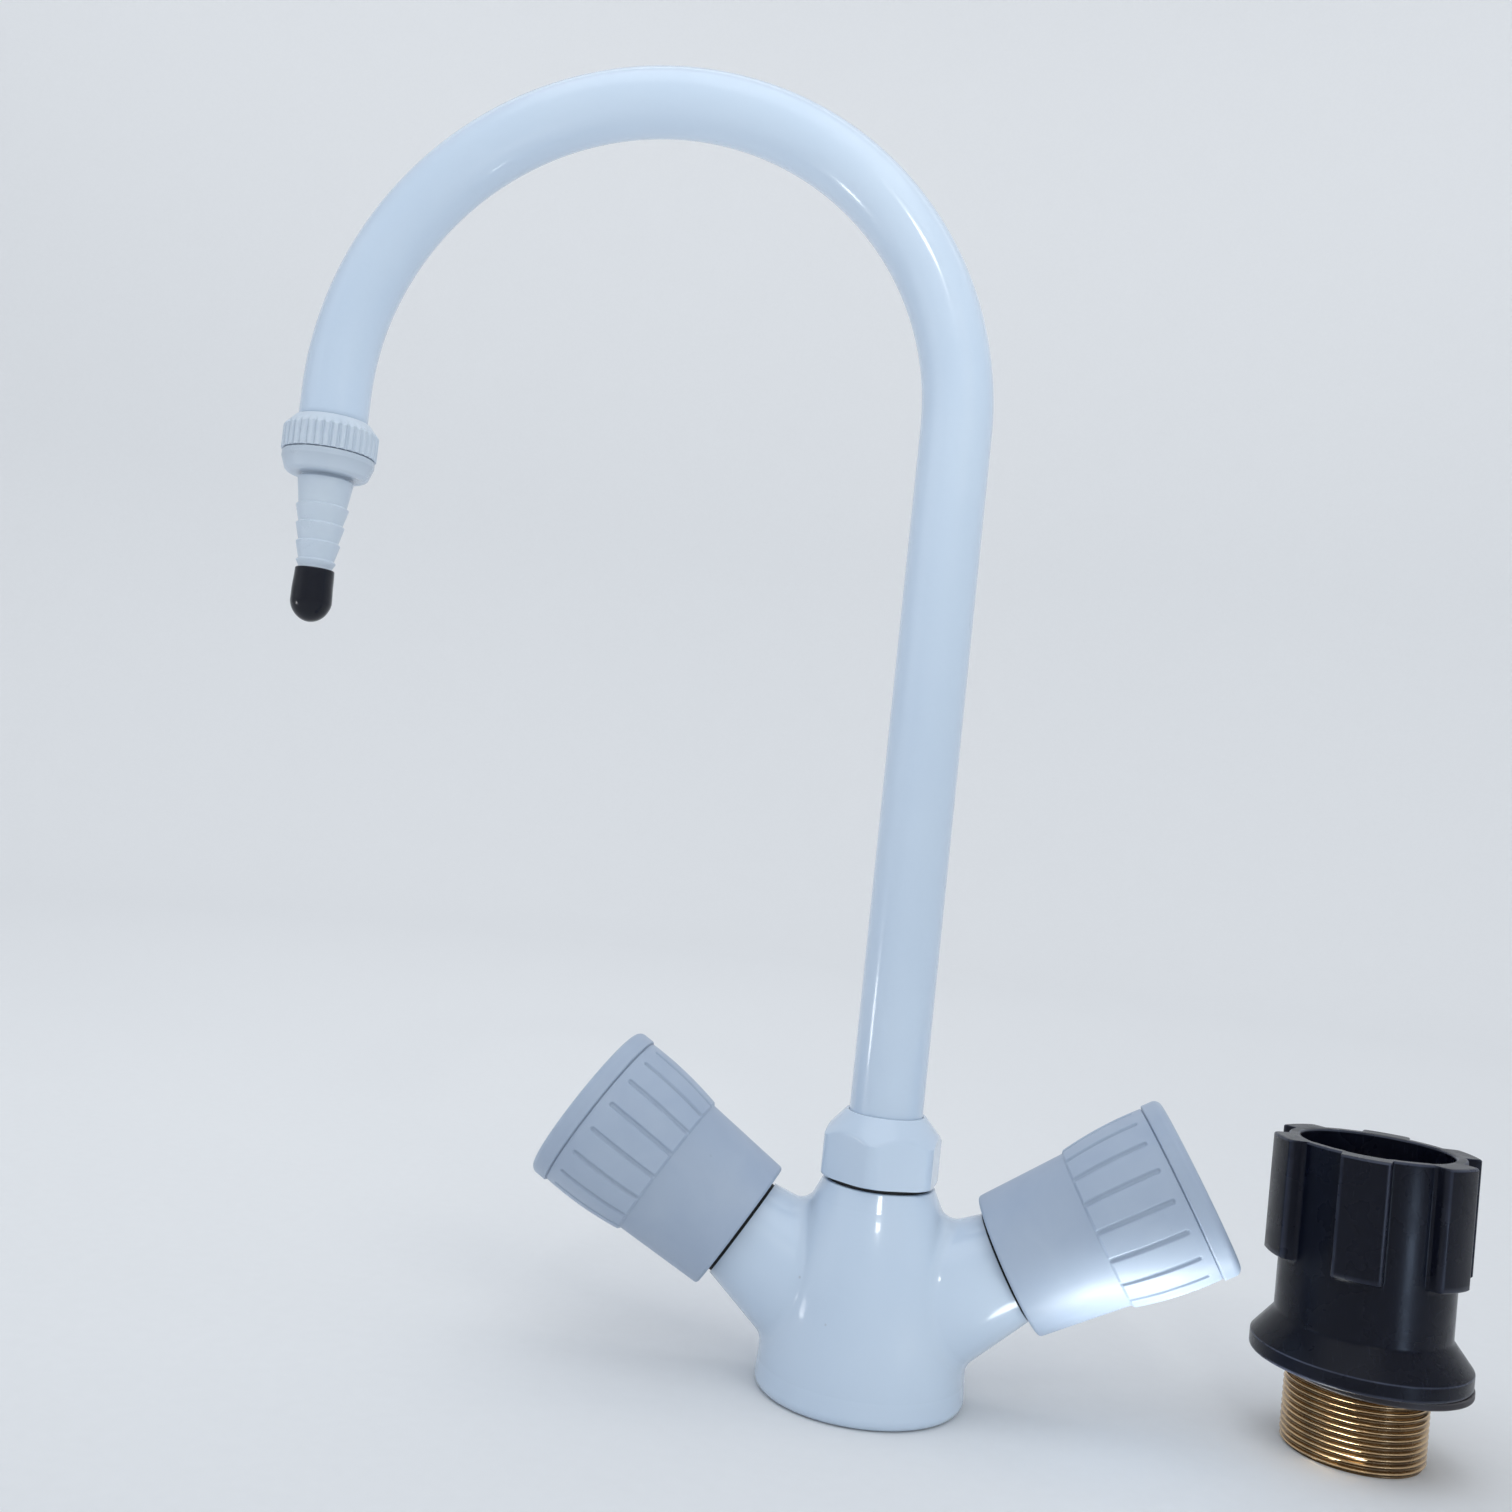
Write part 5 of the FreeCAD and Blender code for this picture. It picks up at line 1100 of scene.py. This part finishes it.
# %% The clamping nut
CLAMP_FOOT, CLAMP_TOP, CLAMP_THREAD_TOP = 20.5, 72.7, 45.0
FLANGE, FLANGE_RIM, FLANGE_SLOPE = 25.2, 3.7, 6.2
BARREL, LOBE, LOBE_WIDTH, LOBE_FOOT = 20.2, 23.9, 11.0, 44.5
LOBES, LOBE_TURN, LOBE_CORNER = 6, -110.0, 1.0
CLAMP_BORE, CLAMP_WIDE_BORE = 16.6, 17.5


def lobe_radius(angles):
    """A bar of the lobe's width, cut off square at its reach; outside the bar there is none.

    Towards its flat end the bar is reach / cos(angle), and past its corner it is
    half width / sin(angle), so the least of both draws one lobe.
    """
    step = 2 * math.pi / LOBES
    off = np.abs((angles - math.radians(LOBE_TURN) + step / 2) % step - step / 2)
    end = LOBE / np.maximum(np.cos(off), 0.2)
    side = (LOBE_WIDTH / 2) / np.maximum(np.sin(off), 1e-3)
    cut = (LOBE + LOBE_WIDTH / 2 - LOBE_CORNER) / np.maximum(np.cos(off) + np.sin(off), 0.2)
    return np.minimum(soft_least(soft_least(end, side, 0.3), cut, 0.5), LOBE)


def clamping_nut():
    """Flange, barrel and lobes outside, then the wide upper bore and the threaded bore."""
    corners = [
        (CLAMP_BORE, CLAMP_FOOT, 0.4),
        (FLANGE, CLAMP_FOOT, 0.8),
        (FLANGE, CLAMP_FOOT + FLANGE_RIM, 0.6),
        (BARREL, CLAMP_FOOT + FLANGE_RIM + FLANGE_SLOPE, 1.6),
        (BARREL, LOBE_FOOT - 0.4),
        (BARREL, LOBE_FOOT - 0.1),
        (BARREL, LOBE_FOOT + 0.15),
        (BARREL, LOBE_FOOT + 0.5),
        (BARREL, CLAMP_TOP, 0.5),
        (CLAMP_WIDE_BORE, CLAMP_TOP, 0.5),
        (CLAMP_WIDE_BORE, CLAMP_THREAD_TOP),
        (CLAMP_BORE, CLAMP_THREAD_TOP),
    ]
    line = divided(outline(corners), 1.2)
    angles = around(420)
    height = line[:, 1:]
    radius = np.repeat(line[:, :1], len(angles), axis=1)
    grown = eased((height - LOBE_FOOT + 0.25) / 0.5) * (line[:, :1] > CLAMP_WIDE_BORE + 0.1)
    lobed = -soft_least(-radius, -lobe_radius(angles)[None], 0.35)
    past_barrel = (line[:, :1] - CLAMP_WIDE_BORE) / (BARREL - CLAMP_WIDE_BORE)
    lobed = radius + (lobed - radius) * np.clip(past_barrel, 0, 1)
    radius = radius + (lobed - radius) * grown
    return at_fixing(turned(line, angles, radius))


build(
    "lobed_clamping_nut", clamping_nut(), "clamping_nut", "fixing_nut",
    BLACK_NYLON,
)

# %% [markdown]
# ## The washer
# The washer is a thin flat ring that hangs loose, so it lies off centre on the tube. A ring with
# sharp edges would have the right size but would catch no light, so each edge gets a small arc.

# %% The washer
WASHER_FOOT, WASHER_TOP = 18.4, 20.2
WASHER_BORE, WASHER_RADIUS = 20.3, 22.25
WASHER_PLAY = 3.4


def fixing_washer():
    """A flat ring with rubbed, slightly rounded edges, off centre by its play on the tube."""
    corners = [
        (WASHER_BORE, WASHER_FOOT, 0.2),
        (WASHER_RADIUS, WASHER_FOOT, 0.35),
        (WASHER_RADIUS, WASHER_TOP, 0.35),
        (WASHER_BORE, WASHER_TOP, 0.2),
    ]
    return at_fixing(turned(outline(corners), around(144)), WASHER_PLAY)


build(
    "loose_fixing_washer", fixing_washer(), "loose_washer", "fixing_washer",
    BLACKENED,
)

# %% [markdown]
# ## The studio
# A white object needs an even, pale room, because its shape is drawn by what it mirrors. A plane
# under a plain sky would do for the shadow, but its far edge would draw a line across every
# reflection. So the floor runs up into a wall without a corner, and neither has a pattern. The
# bowl is turned like the pieces, from a flat line, a quarter circle and an upright line.

# %% Floor and wall
FLOOR_COLOUR = (0.88, 0.89, 0.90, 1)
FLOOR_RADIUS, WALL_CURVE, WALL_HEIGHT = 1250.0, 550.0, 1700.0


def studio_bowl():
    """A flat round floor whose edge curves up through a quarter circle into a wall."""
    bend = np.linspace(0, math.pi / 2, 24)
    out, up = WALL_CURVE * np.sin(bend), WALL_CURVE * (1 - np.cos(bend))
    curve = np.stack([FLOOR_RADIUS + out, up], axis=1)
    floor = np.stack([np.linspace(0, FLOOR_RADIUS, 8, endpoint=False), np.zeros(8)], axis=1)
    wall = np.array([[FLOOR_RADIUS + WALL_CURVE, WALL_HEIGHT]])
    return turned(np.vstack([floor, curve, wall])[::-1], around(128))


def paper(colour):
    """Matt paper with a barely visible tooth."""
    material, tree, shader, place = start_finish("studio_paper", {"Roughness": 0.9})
    tooth = add(tree, "TexNoise", {"Vector": place, "Scale": 260.0, "Detail": 3.0})
    pale = tuple(0.97 * c for c in colour[:3]) + (1,)
    fill(shader, {"Base Color": blended(tree, tooth.outputs[0], pale, colour)})
    return material


def floor_mesh():
    """The bowl is open at its top, so its rows are joined without closing them."""
    grid = studio_bowl()
    rows, columns = grid.shape[:2]
    marks = np.arange(rows * columns).reshape(rows, columns)
    marks = np.hstack([marks, marks[:, :1]])
    quads = np.stack([marks[:-1, :-1], marks[:-1, 1:], marks[1:, 1:], marks[1:, :-1]], axis=-1)
    mesh = bpy.data.meshes.new("studio_floor")
    mesh.from_pydata((grid.reshape(-1, 3) * MM).tolist(), [], quads.reshape(-1, 4).tolist())
    mesh.shade_smooth()
    mesh.materials.append(paper(FLOOR_COLOUR))
    return mesh


floor = bpy.data.objects.new("studio_floor", floor_mesh())
bpy.context.scene.collection.objects.link(floor)
print("the floor has", len(floor.data.polygons), "faces")

# %% [markdown]
# ## The lights
# The light is soft and comes from a pale sky, a sheet overhead, a wide panel at the left and a
# glow on the wall behind. Each mark on the gloss needs a light of its own. A small window in
# front draws the short bright marks on the body, the neck and the arch, and a spark at the left
# draws the one on the riser. A low panel under the cold handle makes the glow along its lower
# side, and a narrow strip draws the upright band on the black nut. Three weak lamps only lift
# the arch and the foot of the body, and nothing mirrors them. Point lamps would make round
# spots and light the floor as well. An area light has the form of the mark that it draws, and
# its spread narrows it to a beam, which keeps these small ones off the floor.

# %% Lights and sky


def soft_light(name, place, target, size, power, colour, spread=180, mirrored=True):
    """A rectangular area light that faces its target; millimetres, watts and degrees.

    The camera never sees it, and with mirrored off, glossy surfaces don't either: it then only
    lifts the tone of what it falls on.
    """
    data = bpy.data.lights.new(name, "AREA")
    data.shape = "RECTANGLE"
    data.size, data.size_y = size[0] * MM, size[1] * MM
    data.energy = power
    data.color = colour
    data.spread = math.radians(spread)
    lamp = bpy.data.objects.new(name, data)
    place, target = Vector(place) * MM, Vector(target) * MM
    aim = (target - place).to_track_quat("-Z", "Y").to_matrix().to_4x4()
    lamp.matrix_world = Matrix.Translation(place) @ aim
    lamp.visible_camera = False
    lamp.visible_glossy = mirrored
    bpy.context.scene.collection.objects.link(lamp)


WHITE, WARM, COOL = (1.0, 1.0, 1.0), (1.0, 1.0, 0.94), (0.90, 0.95, 1.0)
GREENISH, BLUE = (0.96, 1.0, 0.98), (0.55, 0.72, 1.0)
SKY_COLOUR, SKY_STRENGTH = (0.90, 0.94, 1.0, 1), 0.72

soft_light("window", (250, -1600, 1250), (0, 0, 100), (240, 120), 2.2, WARM)
soft_light("overhead_sheet", (-80, -200, 800), (-80, 0, 250), (700, 500), 0.85, COOL)
soft_light("left_fill", (-900, -500, 500), (0, 0, 120), (600, 700), 0.4, COOL)
soft_light("backdrop_glow", (0, 500, 1450), (0, 1800, 600), (2200, 500), 5.0, WHITE)
soft_light("arch_fill", (300, -450, 520), (-60, 0, 290), (300, 300), 0.12, WARM, 50, False)
soft_light("arch_from_below", (0, -250, 60), (-60, 0, 320), (80, 80), 0.011, WARM, 40, False)
soft_light("body_fill", (110, -100, 5), (20, -10, 30), (40, 40), 0.004, WARM, 60, False)
soft_light("low_panel", (88, -13, 2), (82, -3, 37), (80, 10), 0.0165, GREENISH, 90)
soft_light("spark_left", (-560, -180, 20), (-35, 0, 190), (60, 60), 0.014, WHITE, 44)
soft_light("nut_strip", (187, -83, 27), (118, 15, 45), (16, 50), 0.0028, BLUE, 60)

sky = bpy.data.worlds.new("studio_sky")
sky.use_nodes = True
fill(sky.node_tree.nodes["Background"], {"Color": SKY_COLOUR, "Strength": SKY_STRENGTH})
bpy.context.scene.world = sky
bpy.context.scene.view_settings.view_transform = "Standard"
print("lights:", [light.name for light in bpy.data.lights])
